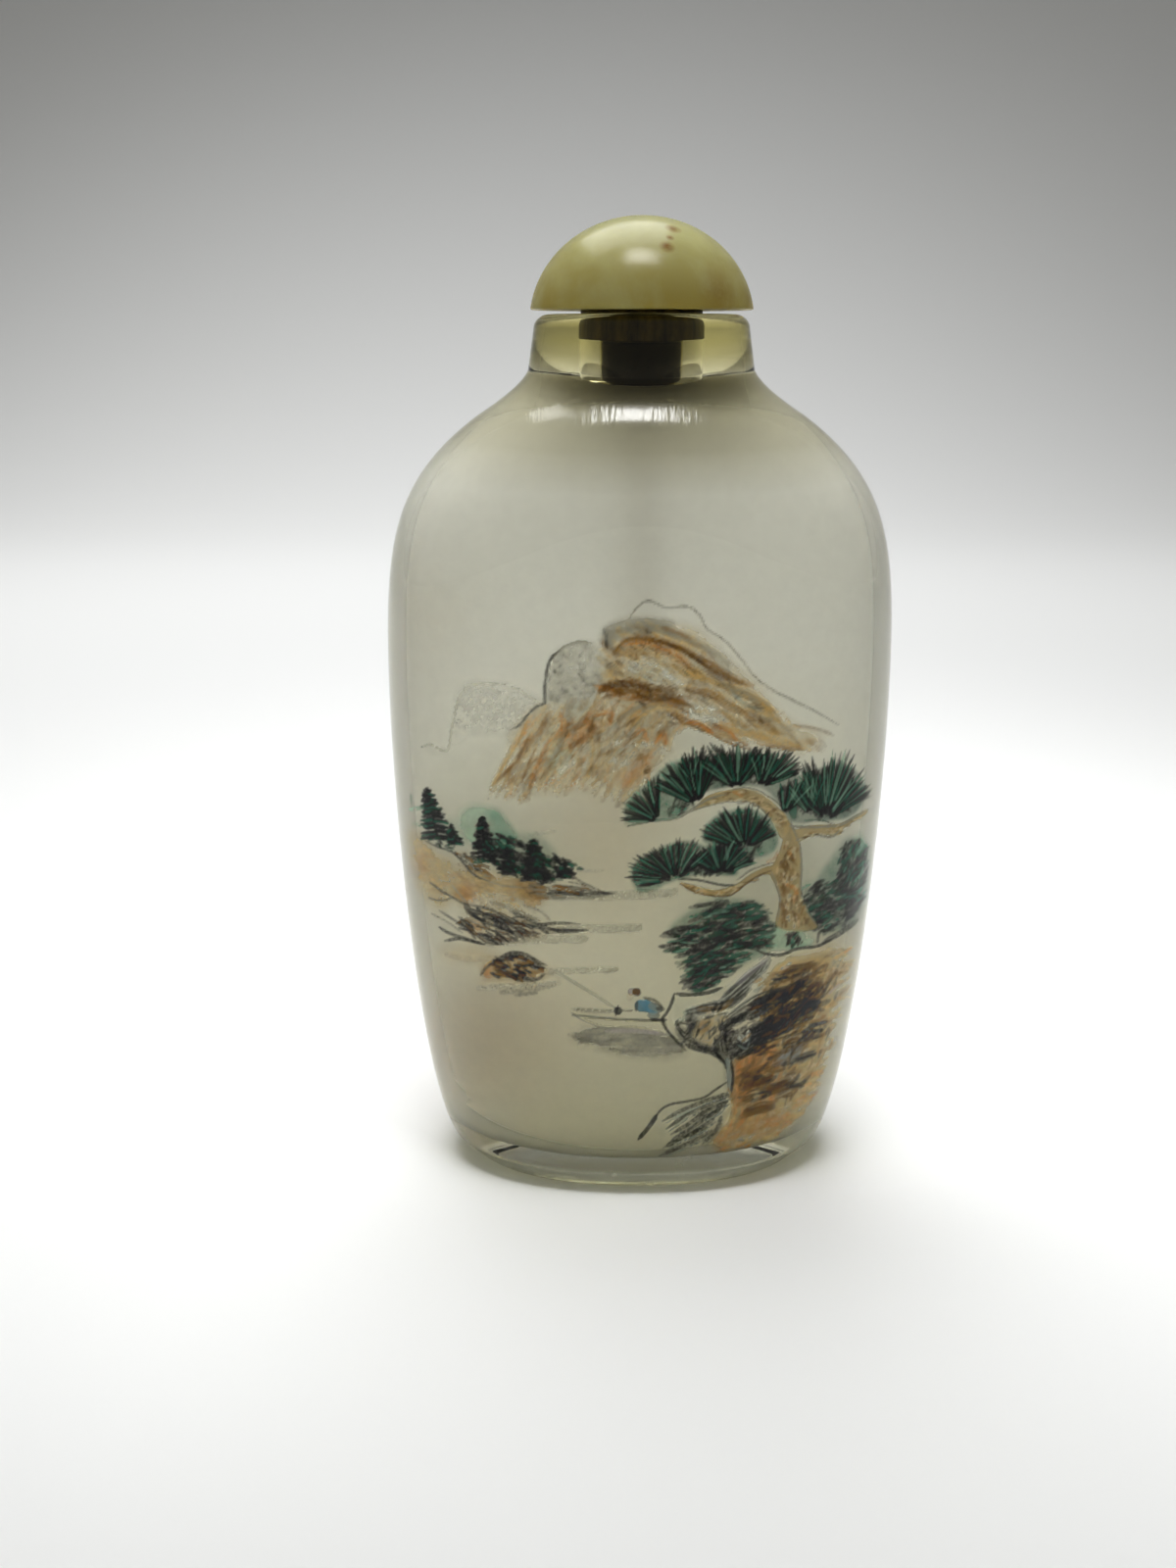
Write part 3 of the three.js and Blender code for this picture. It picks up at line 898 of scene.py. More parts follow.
# pools are washes, bands are bundles of dry hairs, lines single strokes, dabs and grain short marks;
# what stands in each entry, and in which order, is said in the lay function that reads it
mountain = dict(
    dabs=[
        (250, 22, -35, 10, 5, 0.36, 0.7, "ochre brown tan umber smoke ochre", [(616, 668), (636, 640),
         (690, 640), (742, 676), (778, 708), (812, 746), (760, 752), (704, 730), (660, 704), (616, 704)]),
        (60, 18, -28, 12, 6, 0.4, 0.6, "pale haze tan", [(640, 676), (690, 672), (740, 704), (770, 722),
         (740, 742), (690, 724), (640, 700)]),
        (60, 22, -12, 10, 4, 0.4, 0.7, "umber brown rust", [(612, 700), (650, 694), (700, 712),
         (690, 724), (640, 716)]),
        (350, 22, 60, 13, 4.5, 0.3, 0.7, "ochre brown rust umber tan grey ochre", [(548, 726), (612, 712),
         (700, 730), (668, 786), (642, 818), (585, 800), (530, 812), (504, 804), (520, 766)]),
        (70, 16, 50, 20, 6, 0.35, 0.6, "pale haze", [(560, 742), (640, 740), (690, 752), (650, 790),
         (570, 796)]),
        (90, 18, -30, 10, 3.6, 0.35, 0.7, "ochre brown tan", [(776, 716), (806, 744), (842, 760),
         (800, 768), (740, 756), (720, 736)]),
        (60, 12, 50, 20, 5, 0.3, 0.6, "rust umber", [(574, 736), (604, 728), (620, 742), (590, 764),
         (566, 762)]),
    ],
    grain=[
        (150, 5, 40, 50, 3, 0.16, 0.5, "grey smoke violet", [(466, 706), (500, 699), (540, 714),
         (540, 740), (462, 750)]),
        (220, 5, 60, 50, 3, 0.26, 0.5, "smoke grey violet ink", [(560, 690), (568, 666), (600, 658),
         (618, 682), (604, 712), (562, 716)]),
        (260, 9, -34, 20, 2, 0.42, 0.5, "umber umber smoke ink", [(620, 660), (660, 640), (740, 690),
         (800, 740), (700, 746), (620, 716)]),
        (260, 10, 60, 16, 2, 0.36, 0.5, "umber brown smoke umber", [(530, 760), (560, 730), (690, 735),
         (660, 780), (560, 800), (510, 800)]),
    ],
    pools=[
        ("haze", 0.42, 3, 0.7, [(432, 762), (456, 764), (463, 738), (470, 702), (500, 697), (526, 702),
         (552, 718), (545, 740), (520, 760), (480, 790)], (740, 800)),
        ("pale", 0.5, 6, 0.3, [(440, 790), (480, 760), (520, 765), (500, 810), (560, 820), (640, 800),
         (690, 762), (700, 800), (640, 850), (520, 850), (450, 830)], (760, 860)),
        ("grey", 0.62, 2, 0.5, [(556, 720), (558, 688), (566, 666), (590, 655), (605, 657), (619, 670),
         (622, 700), (610, 716), (585, 724)]),
        ("tan", 0.55, 4, 0.5, [(522, 746), (545, 722), (578, 722), (612, 712), (616, 652), (642, 634),
         (682, 636), (714, 644), (745, 672), (776, 702), (802, 736), (836, 750), (820, 766), (760, 758),
         (702, 762), (664, 796), (640, 822), (585, 812), (530, 822), (499, 806), (508, 782)], (780, 825)),
        ("smoke", 0.75, 2, 0.4, [(614, 652), (618, 640), (640, 632), (668, 630), (690, 638), (664, 646),
         (636, 650), (624, 664), (616, 662)]),
        ("ochre", 0.5, 4, 0.5, [(622, 672), (640, 654), (668, 656), (700, 668), (690, 680), (655, 672),
         (632, 688)]),
        ("pale", 0.6, 2, 0.4, [(634, 682), (652, 674), (676, 676), (684, 690), (660, 696), (640, 694)]),
        ("slate", 0.35, 2, 0.5, [(636, 690), (656, 682), (680, 686), (676, 695), (648, 697)]),
        ("pale", 0.55, 2, 0.5, [(724, 708), (742, 704), (762, 714), (768, 722), (746, 722)]),
        ("pale", 0.65, 2, 0.3, [(690, 724), (712, 722), (740, 734), (730, 740), (704, 734)]),
        ("pale", 0.8, 2, 0.2, [(688, 752), (704, 742), (724, 750), (744, 760), (716, 764), (690, 764)]),
        ("slate", 0.4, 2, 0.5, [(568, 722), (590, 718), (606, 722), (586, 732), (574, 730)]),
        ("mint", 0.25, 5, 0.4, [(560, 742), (586, 738), (584, 780), (556, 790)]),
        ("rust", 0.6, 3, 0.3, [(582, 746), (600, 738), (616, 738), (600, 752), (586, 758)]),
        ("rust", 0.5, 3, 0.4, [(632, 796), (650, 774), (668, 768), (656, 790), (640, 806)]),
    ],
    lines=[
        ("grey", 2.6, 0.5, 0.5, [(430, 762), (440, 760), (456, 766), (461, 742), (467, 716), (474, 701)]),
        ("grey", 2.2, 0.4, 0.6, [(474, 700), (500, 697), (526, 702), (540, 711), (553, 719)]),
        ("smoke", 2.6, 0.55, 0.4, [(640, 634), (650, 620), (662, 613), (680, 620), (702, 619), (714, 628),
         (722, 642), (740, 654), (756, 672), (770, 690), (788, 704), (812, 716), (834, 727), (856, 740)]),
        ("ink", 3, 0.75, 0.3, [(556, 719), (556, 700), (558, 684), (562, 672), (572, 663)]),
        ("smoke", 3, 0.7, 0.4, [(566, 668), (578, 659), (592, 655), (605, 657)]),
        ("ink", 3, 0.65, 0.4, [(557, 717), (548, 721), (538, 730), (530, 740), (520, 745)]),
        ("ink", 4, 0.5, 0.5, [(616, 642), (619, 652), (619, 662)]),
        ("smoke", 5, 0.6, 0.5, [(618, 678), (622, 682)]),
    ],
    bands=[
        ("brown", 9, 0.6, 0.8, [(626, 668), (640, 654), (662, 652), (690, 660), (716, 674), (742, 690),
         (768, 700)]),
        ("umber", 5, 0.5, 0.8, [(664, 652), (694, 662), (722, 680), (742, 694)]),
        ("rust", 7, 0.45, 0.8, [(636, 658), (660, 656), (688, 668), (706, 682)]),
        ("brown", 5, 0.55, 0.7, [(676, 640), (694, 646), (706, 652)]),
        ("smoke", 8, 0.35, 0.7, [(626, 646), (650, 640), (684, 646), (722, 662), (752, 682)]),
        ("ochre", 10, 0.5, 0.7, [(690, 682), (716, 690), (744, 700), (772, 712), (796, 734)]),
        ("smoke", 6, 0.5, 0.7, [(730, 690), (744, 700), (764, 708), (778, 724)]),
        ("slate", 5, 0.35, 0.7, [(744, 704), (758, 718), (776, 726)]),
        ("umber", 7, 0.65, 0.8, [(612, 706), (626, 698), (646, 697), (668, 702), (688, 706)]),
        ("brown", 9, 0.6, 0.8, [(616, 712), (636, 706), (660, 710), (684, 716), (704, 720)]),
        ("umber", 5, 0.5, 0.7, [(650, 708), (668, 714), (686, 712)]),
        ("brown", 8, 0.45, 0.8, [(700, 704), (724, 710), (744, 722), (768, 732), (794, 748)]),
        ("ochre", 9, 0.45, 0.8, [(640, 742), (656, 726), (676, 720), (692, 728), (700, 742)]),
        ("smoke", 5, 0.45, 0.7, [(600, 756), (620, 748), (636, 732), (652, 722), (668, 722)]),
        ("brown", 7, 0.6, 0.7, [(686, 728), (702, 738), (724, 746), (744, 756), (768, 764)]),
        ("rust", 6, 0.6, 0.6, [(700, 736), (712, 738), (728, 748)]),
        ("rust", 6, 0.5, 0.6, [(728, 740), (744, 746), (752, 756)]),
        ("ochre", 8, 0.5, 0.7, [(736, 740), (764, 748), (790, 756), (818, 762)]),
        ("brown", 5, 0.5, 0.7, [(780, 760), (802, 764), (820, 764)]),
        ("smoke", 5, 0.35, 0.8, [(766, 728), (790, 738), (812, 756)]),
        ("brown", 4, 0.35, 0.7, [(806, 740), (832, 744), (850, 750)]),
        ("brown", 6, 0.5, 0.8, [(560, 728), (550, 748), (538, 762), (524, 782), (504, 800)]),
        ("rust", 5, 0.45, 0.8, [(572, 728), (574, 744), (560, 758), (552, 776), (540, 802)]),
        ("smoke", 5, 0.4, 0.8, [(580, 744), (570, 760), (562, 778), (552, 800)]),
        ("brown", 4, 0.45, 0.8, [(548, 762), (540, 780), (532, 800)]),
        ("ochre", 7, 0.35, 0.8, [(540, 730), (530, 752), (516, 776), (500, 806)]),
        ("ochre", 8, 0.35, 0.8, [(604, 748), (606, 768), (600, 792)]),
        ("rust", 6, 0.35, 0.7, [(606, 730), (624, 728), (620, 742)]),
        ("brown", 4, 0.35, 0.8, [(610, 772), (630, 764), (648, 752)]),
        ("rust", 5, 0.4, 0.7, [(646, 752), (656, 744), (660, 758)]),
        ("rust", 7, 0.45, 0.8, [(668, 758), (676, 748), (680, 760)]),
        ("umber", 7, 0.8, 0.2, [(658, 786), (662, 788)]),
    ],
)

water = [
    ("grey", 9, 0.55, 0.5, [(556, 914), (600, 914), (650, 913), (688, 911)]),
    ("smoke", 5, 0.35, 0.5, [(676, 914), (690, 908)]),
    ("grey", 8, 0.6, 0.5, [(560, 950), (600, 948), (652, 947)]),
    ("smoke", 4, 0.45, 0.3, [(642, 950), (654, 944)]),
    ("grey", 8, 0.55, 0.5, [(498, 962), (540, 959), (597, 958)]),
    ("grey", 6, 0.5, 0.5, [(552, 992), (600, 990), (629, 989)]),
    ("smoke", 4, 0.35, 0.3, [(618, 992), (630, 988)]),
    ("grey", 5, 0.3, 0.6, [(455, 974), (480, 979), (500, 978)]),
    ("grey", 5, 0.4, 0.6, [(488, 1008), (520, 1006), (570, 1003)]),
    ("smoke", 6, 0.5, 0.6, [(512, 1012), (540, 1010), (566, 1004)]),
    ("ink", 3, 0.5, 0.5, [(526, 1016), (548, 1013)]),
    ("grey", 3, 0.3, 0.5, [(540, 852), (566, 848)]),
    ("grey", 3, 0.25, 0.6, [(590, 889), (616, 888)]),
]

bank = dict(
    dabs=[
        (230, 9, 150, 16, 3.2, 0.95, 0.3, "needle black pine leaf", [(496, 850), (520, 854), (560, 870),
         (596, 888), (560, 900), (500, 886)]),
        (46, 8, 150, 20, 2.4, 0.7, 0.3, "ink smoke brown", [(462, 868), (480, 872), (500, 884),
         (500, 896), (480, 890)]),
        (26, 6, 150, 20, 2.2, 0.8, 0.3, "needle pine leaf", [(440, 852), (460, 856), (470, 868),
         (446, 864)]),
        (120, 12, 150, 20, 4, 0.3, 0.6, "ochre honey tan brown", [(418, 850), (440, 868), (500, 896),
         (560, 906), (540, 930), (470, 926), (430, 900)]),
    ],
    grain=[
        (110, 14, 152, 12, 2.8, 0.85, 0.3, "ink black umber smoke", [(480, 926), (530, 936), (556, 950),
         (500, 962), (470, 950)]),
        (40, 12, 174, 8, 2.4, 0.7, 0.3, "ink smoke brown", [(530, 900), (600, 906), (600, 914),
         (548, 918)]),
        (80, 9, 160, 16, 2.8, 0.9, 0.3, "ink black umber brown", [(502, 980), (530, 974), (554, 988),
         (540, 1000), (500, 996)]),
    ],
    pools=[
        ("mint", 0.55, 2, 0.4, [(470, 826), (484, 822), (506, 826), (518, 838), (528, 856), (520, 872),
         (490, 868), (470, 846)]),
        ("teal", 0.4, 2, 0.4, [(496, 828), (508, 828), (522, 846), (528, 858), (512, 860)]),
        ("mint", 0.35, 3, 0.5, [(440, 840), (476, 836), (484, 856), (450, 858)]),
        ("teal", 0.45, 3, 0.4, [(500, 852), (545, 852), (566, 872), (560, 900), (510, 888)]),
        ("honey", 0.5, 4, 0.5, [(416, 846), (428, 848), (440, 868), (462, 880), (470, 900), (450, 930),
         (426, 900)]),
        ("rust", 0.3, 5, 0.5, [(424, 870), (436, 874), (434, 892), (424, 890)]),
        ("ochre", 0.65, 3, 0.4, [(478, 884), (500, 890), (540, 898), (556, 908), (548, 922), (520, 916),
         (492, 908), (470, 920), (462, 904)]),
        ("rust", 0.55, 3, 0.4, [(472, 900), (482, 904), (484, 918), (474, 924), (468, 912)]),
        ("brown", 0.75, 3, 0.3, [(522, 898), (548, 896), (556, 908), (550, 922), (536, 920), (528, 908)]),
        ("ochre", 0.4, 4, 0.5, [(470, 926), (520, 930), (560, 948), (540, 956), (480, 950)]),
        ("rust", 0.4, 3, 0.5, [(478, 936), (494, 938), (490, 950), (476, 948)]),
        ("ochre", 0.3, 4, 0.5, [(448, 964), (500, 968), (500, 982), (456, 978)]),
        ("ochre", 0.6, 3, 0.4, [(494, 982), (520, 974), (552, 984), (556, 998), (500, 1000)]),
        ("rust", 0.6, 2, 0.4, [(490, 992), (498, 984), (502, 994), (496, 1000)]),
        ("pale", 0.35, 3, 0.3, [(470, 924), (500, 938), (490, 946), (470, 938)]),
    ],
    lines=[
        ("ink", 2.2, 0.7, 0.3, [(434, 858), (446, 864), (462, 870), (474, 882), (484, 893), (500, 900)]),
        ("smoke", 2.4, 0.5, 0.4, [(486, 893), (510, 903), (540, 906)]),
        ("ink", 2.4, 0.6, 0.3, [(438, 900), (452, 910), (466, 918), (486, 930), (502, 932)]),
        ("ink", 2, 0.6, 0.3, [(437, 916), (450, 919), (462, 916)]),
        ("smoke", 2.4, 0.6, 0.3, [(461, 903), (470, 914), (480, 926)]),
        ("ink", 2.4, 0.6, 0.3, [(448, 929), (462, 938), (480, 950), (496, 962)]),
        ("smoke", 2.2, 0.5, 0.3, [(440, 932), (458, 942), (472, 952)]),
        ("ink", 3.2, 0.75, 0.4, [(448, 946), (458, 952), (476, 958), (494, 964)]),
        ("ink", 3.4, 0.8, 0.4, [(454, 960), (470, 958), (496, 964)]),
        ("ink", 3, 0.7, 0.4, [(474, 922), (500, 928), (530, 942), (560, 948), (598, 949)]),
        ("ink", 3.6, 0.8, 0.5, [(480, 928), (506, 936), (536, 944), (570, 942), (592, 943)]),
        ("ink", 3.4, 0.8, 0.5, [(520, 930), (548, 942), (570, 950), (600, 949)]),
        ("smoke", 4, 0.6, 0.5, [(500, 920), (528, 930), (552, 940)]),
        ("smoke", 3, 0.5, 0.4, [(536, 924), (552, 930), (562, 940)]),
        ("ink", 3.4, 0.75, 0.4, [(560, 908), (580, 912), (606, 912), (628, 912)]),
        ("ink", 2.8, 0.7, 0.4, [(572, 904), (596, 908), (624, 912)]),
        ("smoke", 2.6, 0.6, 0.4, [(580, 900), (596, 903), (616, 910)]),
        ("ink", 2.6, 0.6, 0.4, [(582, 890), (590, 898), (606, 906)]),
        ("smoke", 3.6, 0.5, 0.4, [(548, 914), (580, 916), (620, 914)]),
        ("ink", 3.6, 0.85, 0.4, [(500, 984), (510, 978), (522, 972), (536, 974), (550, 982), (558, 985)]),
        ("ink", 4.6, 0.75, 0.5, [(512, 980), (526, 976), (540, 982), (556, 988)]),
        ("ink", 3, 0.7, 0.4, [(500, 984), (494, 990), (490, 996)]),
        ("ink", 4.2, 0.8, 0.4, [(506, 990), (520, 996), (536, 998)]),
        ("brown", 3.6, 0.7, 0.4, [(520, 988), (536, 992), (552, 992)]),
        ("ink", 3.4, 0.7, 0.4, [(526, 1000), (546, 1000), (556, 994)]),
        ("leaf", 2, 0.6, 0.3, [(419, 810), (420, 822)]),
        ("mint", 5, 0.45, 0.4, [(418, 826), (432, 824)]),
        ("mint", 4, 0.35, 0.5, [(420, 840), (436, 844)]),
    ],
    trees=[
        (436, 806, 447, 858, 17),
        (460, 844, 466, 862, 11),
        (492, 834, 494, 880, 15),
        (518, 862, 520, 892, 13),
        (544, 858, 548, 898, 17),
        (576, 880, 578, 896, 12),
    ],
)

boat = dict(
    ripples=[
        (110, 18, 4, 6, 4, 0.5, 0.7, "smoke ink grey", [(584, 1056), (610, 1050), (660, 1054),
         (694, 1062), (696, 1072), (660, 1076), (620, 1070)]),
    ],
    lines=[
        ("grey", 3.4, 0.65, 0.2, [(566, 991), (580, 999), (600, 1011), (616, 1021), (630, 1030)]),
        ("smoke", 4.4, 0.6, 0.4, [(584, 1030), (604, 1031), (628, 1032)]),
        ("ink", 2.6, 0.7, 0.3, [(584, 1036), (606, 1038), (632, 1040), (656, 1041), (680, 1041)]),
        ("smoke", 2.6, 0.65, 0.3, [(583, 1033), (592, 1039), (606, 1045), (622, 1049), (650, 1049),
         (676, 1053)]),
        ("violet", 4.5, 0.65, 0.4, [(618, 1052), (645, 1052), (662, 1053), (680, 1056)]),
        ("ink", 8.5, 0.95, 0.2, [(629, 1031), (632, 1032)]),
        ("ink", 2, 0.8, 0, [(631, 1026), (628, 1037)]),
        ("smoke", 2, 0.7, 0.1, [(634, 1031), (646, 1031)]),
        ("ink", 4, 0.8, 0.2, [(664, 1040), (680, 1041)]),
    ],
    hull=[(586, 1034), (608, 1038), (640, 1041), (676, 1041), (676, 1052), (640, 1048), (610, 1046),
          (594, 1040)],
    shadow=[(582, 1056), (610, 1048), (660, 1052), (696, 1062), (700, 1074), (664, 1078), (620, 1072),
          (596, 1064)],
    hat=[
        ("violet", 6, 0.8, 0.1, [(642, 1012), (652, 1011)]),
        ("umber", 7.5, 0.9, 0.1, [(647, 1012), (652, 1013)]),
    ],
    face=[
        ("peach", 7, 0.9, 0, [(641, 1017), (644, 1018)]),
    ],
    robe=[
        ("blue", 12, 0.9, 0.1, [(652, 1026), (662, 1027)]),
        ("blue", 10, 0.85, 0.2, [(658, 1024), (668, 1032)]),
        ("slate", 8, 0.8, 0.2, [(664, 1026), (674, 1030)]),
        ("ink", 3, 0.7, 0.2, [(650, 1022), (649, 1032)]),
        ("ink", 3, 0.65, 0.2, [(656, 1018), (668, 1021), (677, 1029)]),
        ("ink", 4, 0.7, 0.2, [(670, 1029), (678, 1030)]),
        ("slate", 6, 0.7, 0.2, [(662, 1036), (672, 1036)]),
    ],
)

pineTree = dict(
    bark=[
        (130, 6, 78, 22, 2.8, 0.65, 0.5, "brown umber tan cream umber brown", [(800, 856), (814, 868),
         (816, 905), (830, 944), (798, 944), (797, 905), (791, 890), (800, 870)]),
        (60, 7, 12, 22, 2.4, 0.5, 0.5, "brown umber tan cream", [(712, 824), (744, 808), (768, 807),
         (800, 832), (800, 850), (780, 826), (744, 816)]),
        (40, 7, 30, 22, 2, 0.5, 0.5, "brown umber tan cream", [(700, 903), (730, 910), (756, 902),
         (792, 886), (784, 892), (744, 913), (712, 912)]),
        (30, 7, 20, 22, 2, 0.5, 0.5, "brown umber cream", [(812, 852), (850, 846), (882, 830), (858, 850),
         (818, 856)]),
    ],
    wood=[
        ("bark", 0.95, [(797, 826), (806, 838), (812, 852), (817, 868), (817, 905), (820, 924),
         (834, 946), (812, 950), (792, 944), (796, 920), (792, 905), (786, 890), (795, 870), (800, 848)]),
        ("bark", 0.95, [(708, 826), (722, 812), (744, 806), (762, 805), (780, 812), (796, 826),
         (806, 842), (798, 856), (790, 842), (780, 828), (766, 818), (744, 817), (724, 822)]),
        ("bark", 0.95, [(692, 899), (706, 903), (730, 908), (750, 903), (766, 892), (784, 884),
         (796, 884), (792, 892), (776, 893), (762, 902), (746, 913), (724, 914), (704, 909)]),
        ("bark", 0.9, [(806, 848), (830, 842), (858, 840), (884, 826), (882, 832), (862, 844), (856, 852),
         (830, 852), (812, 860)]),
    ],
    lines=[
        ("smoke", 2.4, 0.8, 0.3, [(640, 843), (664, 838), (690, 835), (706, 826), (722, 816),
         (742, 810)]),
        ("smoke", 2, 0.6, 0.3, [(700, 830), (720, 823), (744, 818), (766, 819), (780, 828), (790, 842)]),
        ("smoke", 2.2, 0.7, 0.3, [(745, 806), (762, 804), (780, 810), (796, 822), (806, 838),
         (816, 862)]),
        ("smoke", 2.2, 0.75, 0.3, [(786, 888), (792, 902), (796, 918), (793, 942)]),
        ("smoke", 2.2, 0.7, 0.3, [(816, 860), (818, 884), (817, 906), (822, 926), (836, 948)]),
        ("ink", 2.4, 0.85, 0.3, [(692, 897), (712, 898), (736, 903), (752, 903)]),
        ("umber", 2.2, 0.8, 0.3, [(694, 902), (708, 909), (726, 914), (744, 914), (762, 901), (778, 892),
         (788, 888)]),
        ("smoke", 2.4, 0.6, 0.3, [(752, 898), (768, 887), (790, 880)]),
        ("smoke", 2.8, 0.8, 0.3, [(806, 843), (828, 844), (846, 843), (858, 842), (872, 834),
         (886, 826)]),
        ("smoke", 2.4, 0.7, 0.3, [(812, 858), (830, 852), (848, 854), (858, 846)]),
        ("smoke", 2, 0.6, 0.3, [(820, 838), (836, 837), (852, 841)]),
        ("brown", 5, 0.6, 0.6, [(798, 884), (808, 888), (806, 902)]),
        ("rust", 5, 0.6, 0.6, [(800, 902), (812, 908), (810, 922)]),
        ("brown", 5, 0.65, 0.6, [(796, 922), (802, 932), (798, 942)]),
        ("rust", 4, 0.5, 0.6, [(804, 868), (810, 878)]),
        ("brown", 3, 0.5, 0.5, [(784, 828), (788, 834)]),
        ("rust", 4, 0.5, 0.5, [(748, 808), (758, 812)]),
        ("brown", 3, 0.5, 0.6, [(806, 930), (814, 934), (816, 942)]),
        ("rust", 3, 0.45, 0.5, [(782, 880), (790, 876), (794, 868)]),
        ("ochre", 4, 0.6, 0.5, [(700, 904), (724, 911), (742, 910)]),
    ],
    beds=[
        ("teal", 0.8, [(638, 842), (638, 822), (648, 808), (662, 798), (674, 786), (690, 776), (712, 776),
         (712, 812), (690, 834), (660, 838)]),
        ("leaf", 0.85, [(690, 778), (720, 772), (770, 770), (804, 782), (816, 800), (812, 836),
         (800, 826), (780, 806), (752, 802), (720, 808), (696, 812)]),
        ("leaf", 0.8, [(812, 792), (836, 784), (862, 780), (880, 794), (882, 816), (866, 834), (836, 838),
         (806, 836)]),
        ("teal", 0.85, [(717, 858), (718, 846), (730, 833), (746, 827), (764, 825), (780, 832),
         (790, 844), (794, 860), (784, 872), (760, 876), (736, 872)]),
        ("teal", 0.85, [(644, 898), (646, 884), (660, 872), (682, 862), (702, 858), (722, 864),
         (744, 868), (752, 892), (720, 892), (690, 898), (668, 908), (652, 910)]),
    ],
    fans=[
        ((672, 838), [(636, 838), (638, 822), (650, 808), (664, 797), (676, 790)], 26, 2.3),
        ((712, 822), [(664, 804), (676, 787), (690, 777), (704, 773), (722, 774), (736, 780)], 40, 2.3),
        ((708, 800), [(690, 784), (698, 766), (716, 762), (730, 764)], 16, 2.4),
        ((752, 806), [(712, 784), (724, 764), (742, 764), (758, 762), (772, 764), (788, 770)], 46, 2.8),
        ((776, 804), [(764, 768), (780, 764), (796, 768), (808, 768), (818, 780), (812, 792)], 40, 2.8),
        ((800, 832), [(792, 806), (806, 796), (820, 796), (830, 806)], 22, 2.4),
        ((842, 838), [(812, 806), (824, 780), (840, 778), (850, 772), (864, 770), (876, 784), (884, 800),
         (886, 816)], 70, 2.4),
        ((826, 832), [(806, 812), (812, 794), (830, 790), (846, 794)], 26, 2.4),
        ((760, 866), [(717, 856), (722, 840), (736, 829), (752, 825), (768, 825), (784, 834), (794, 852)],
         56, 2.4),
        ((690, 898), [(646, 906), (642, 892), (648, 878), (662, 870), (682, 862), (702, 858), (718, 864),
         (728, 874)], 54, 2.3),
        ((736, 892), [(706, 880), (716, 866), (734, 860), (752, 862), (764, 872), (776, 880)], 44, 3.2),
    ],
    masses=[
        ([(706, 782), (730, 776), (778, 774), (800, 784), (790, 800), (750, 798), (716, 806)], 110, 9, 60,
         3),
        ([(676, 828), (692, 812), (714, 810), (706, 826), (690, 834)], 26, 8, 60, 2.4),
        ([(812, 806), (838, 796), (866, 800), (870, 826), (840, 834), (812, 830)], 110, 9, 70, 2.8),
        ([(706, 882), (724, 872), (760, 870), (774, 876), (752, 892), (706, 892)], 60, 9, 30, 2.8),
        ([(748, 856), (762, 848), (776, 854), (782, 866), (764, 870), (748, 868)], 36, 8, 80, 2.4),
    ],
)

shrubs = dict(
    beds=[
        ("teal", 0.6, [(708, 926), (722, 918), (770, 920), (786, 940), (786, 968), (760, 984),
         (724, 1008), (704, 1012), (700, 985), (684, 965), (684, 946)]),
        ("mint", 0.65, [(786, 948), (802, 940), (822, 948), (832, 962), (808, 970), (786, 970)]),
        ("teal", 0.6, [(846, 880), (864, 856), (884, 862), (884, 910), (876, 938), (850, 952), (824, 946),
         (820, 904), (832, 898)]),
        ("mint", 0.4, [(862, 874), (880, 848), (886, 880), (870, 900)]),
    ],
    masses=[
        ([(712, 924), (734, 918), (772, 922), (788, 944), (790, 966), (740, 972), (716, 950)], 130, 20,
         12, 3.6),
        ([(686, 948), (710, 942), (750, 944), (760, 972), (722, 1000), (700, 1000), (694, 980),
         (682, 968)], 130, 20, 12, 3.4),
        ([(700, 985), (740, 978), (770, 970), (738, 1000), (714, 1012), (702, 1008)], 90, 13, 22, 3),
        ([(862, 862), (876, 860), (884, 874), (880, 920), (866, 940), (850, 900)], 120, 15, 58, 2.6),
        ([(820, 900), (850, 898), (876, 912), (868, 938), (846, 950), (822, 944)], 150, 13, 26, 3),
        ([(800, 952), (812, 950), (820, 962), (804, 968)], 26, 7, 60, 2.6),
    ],
)

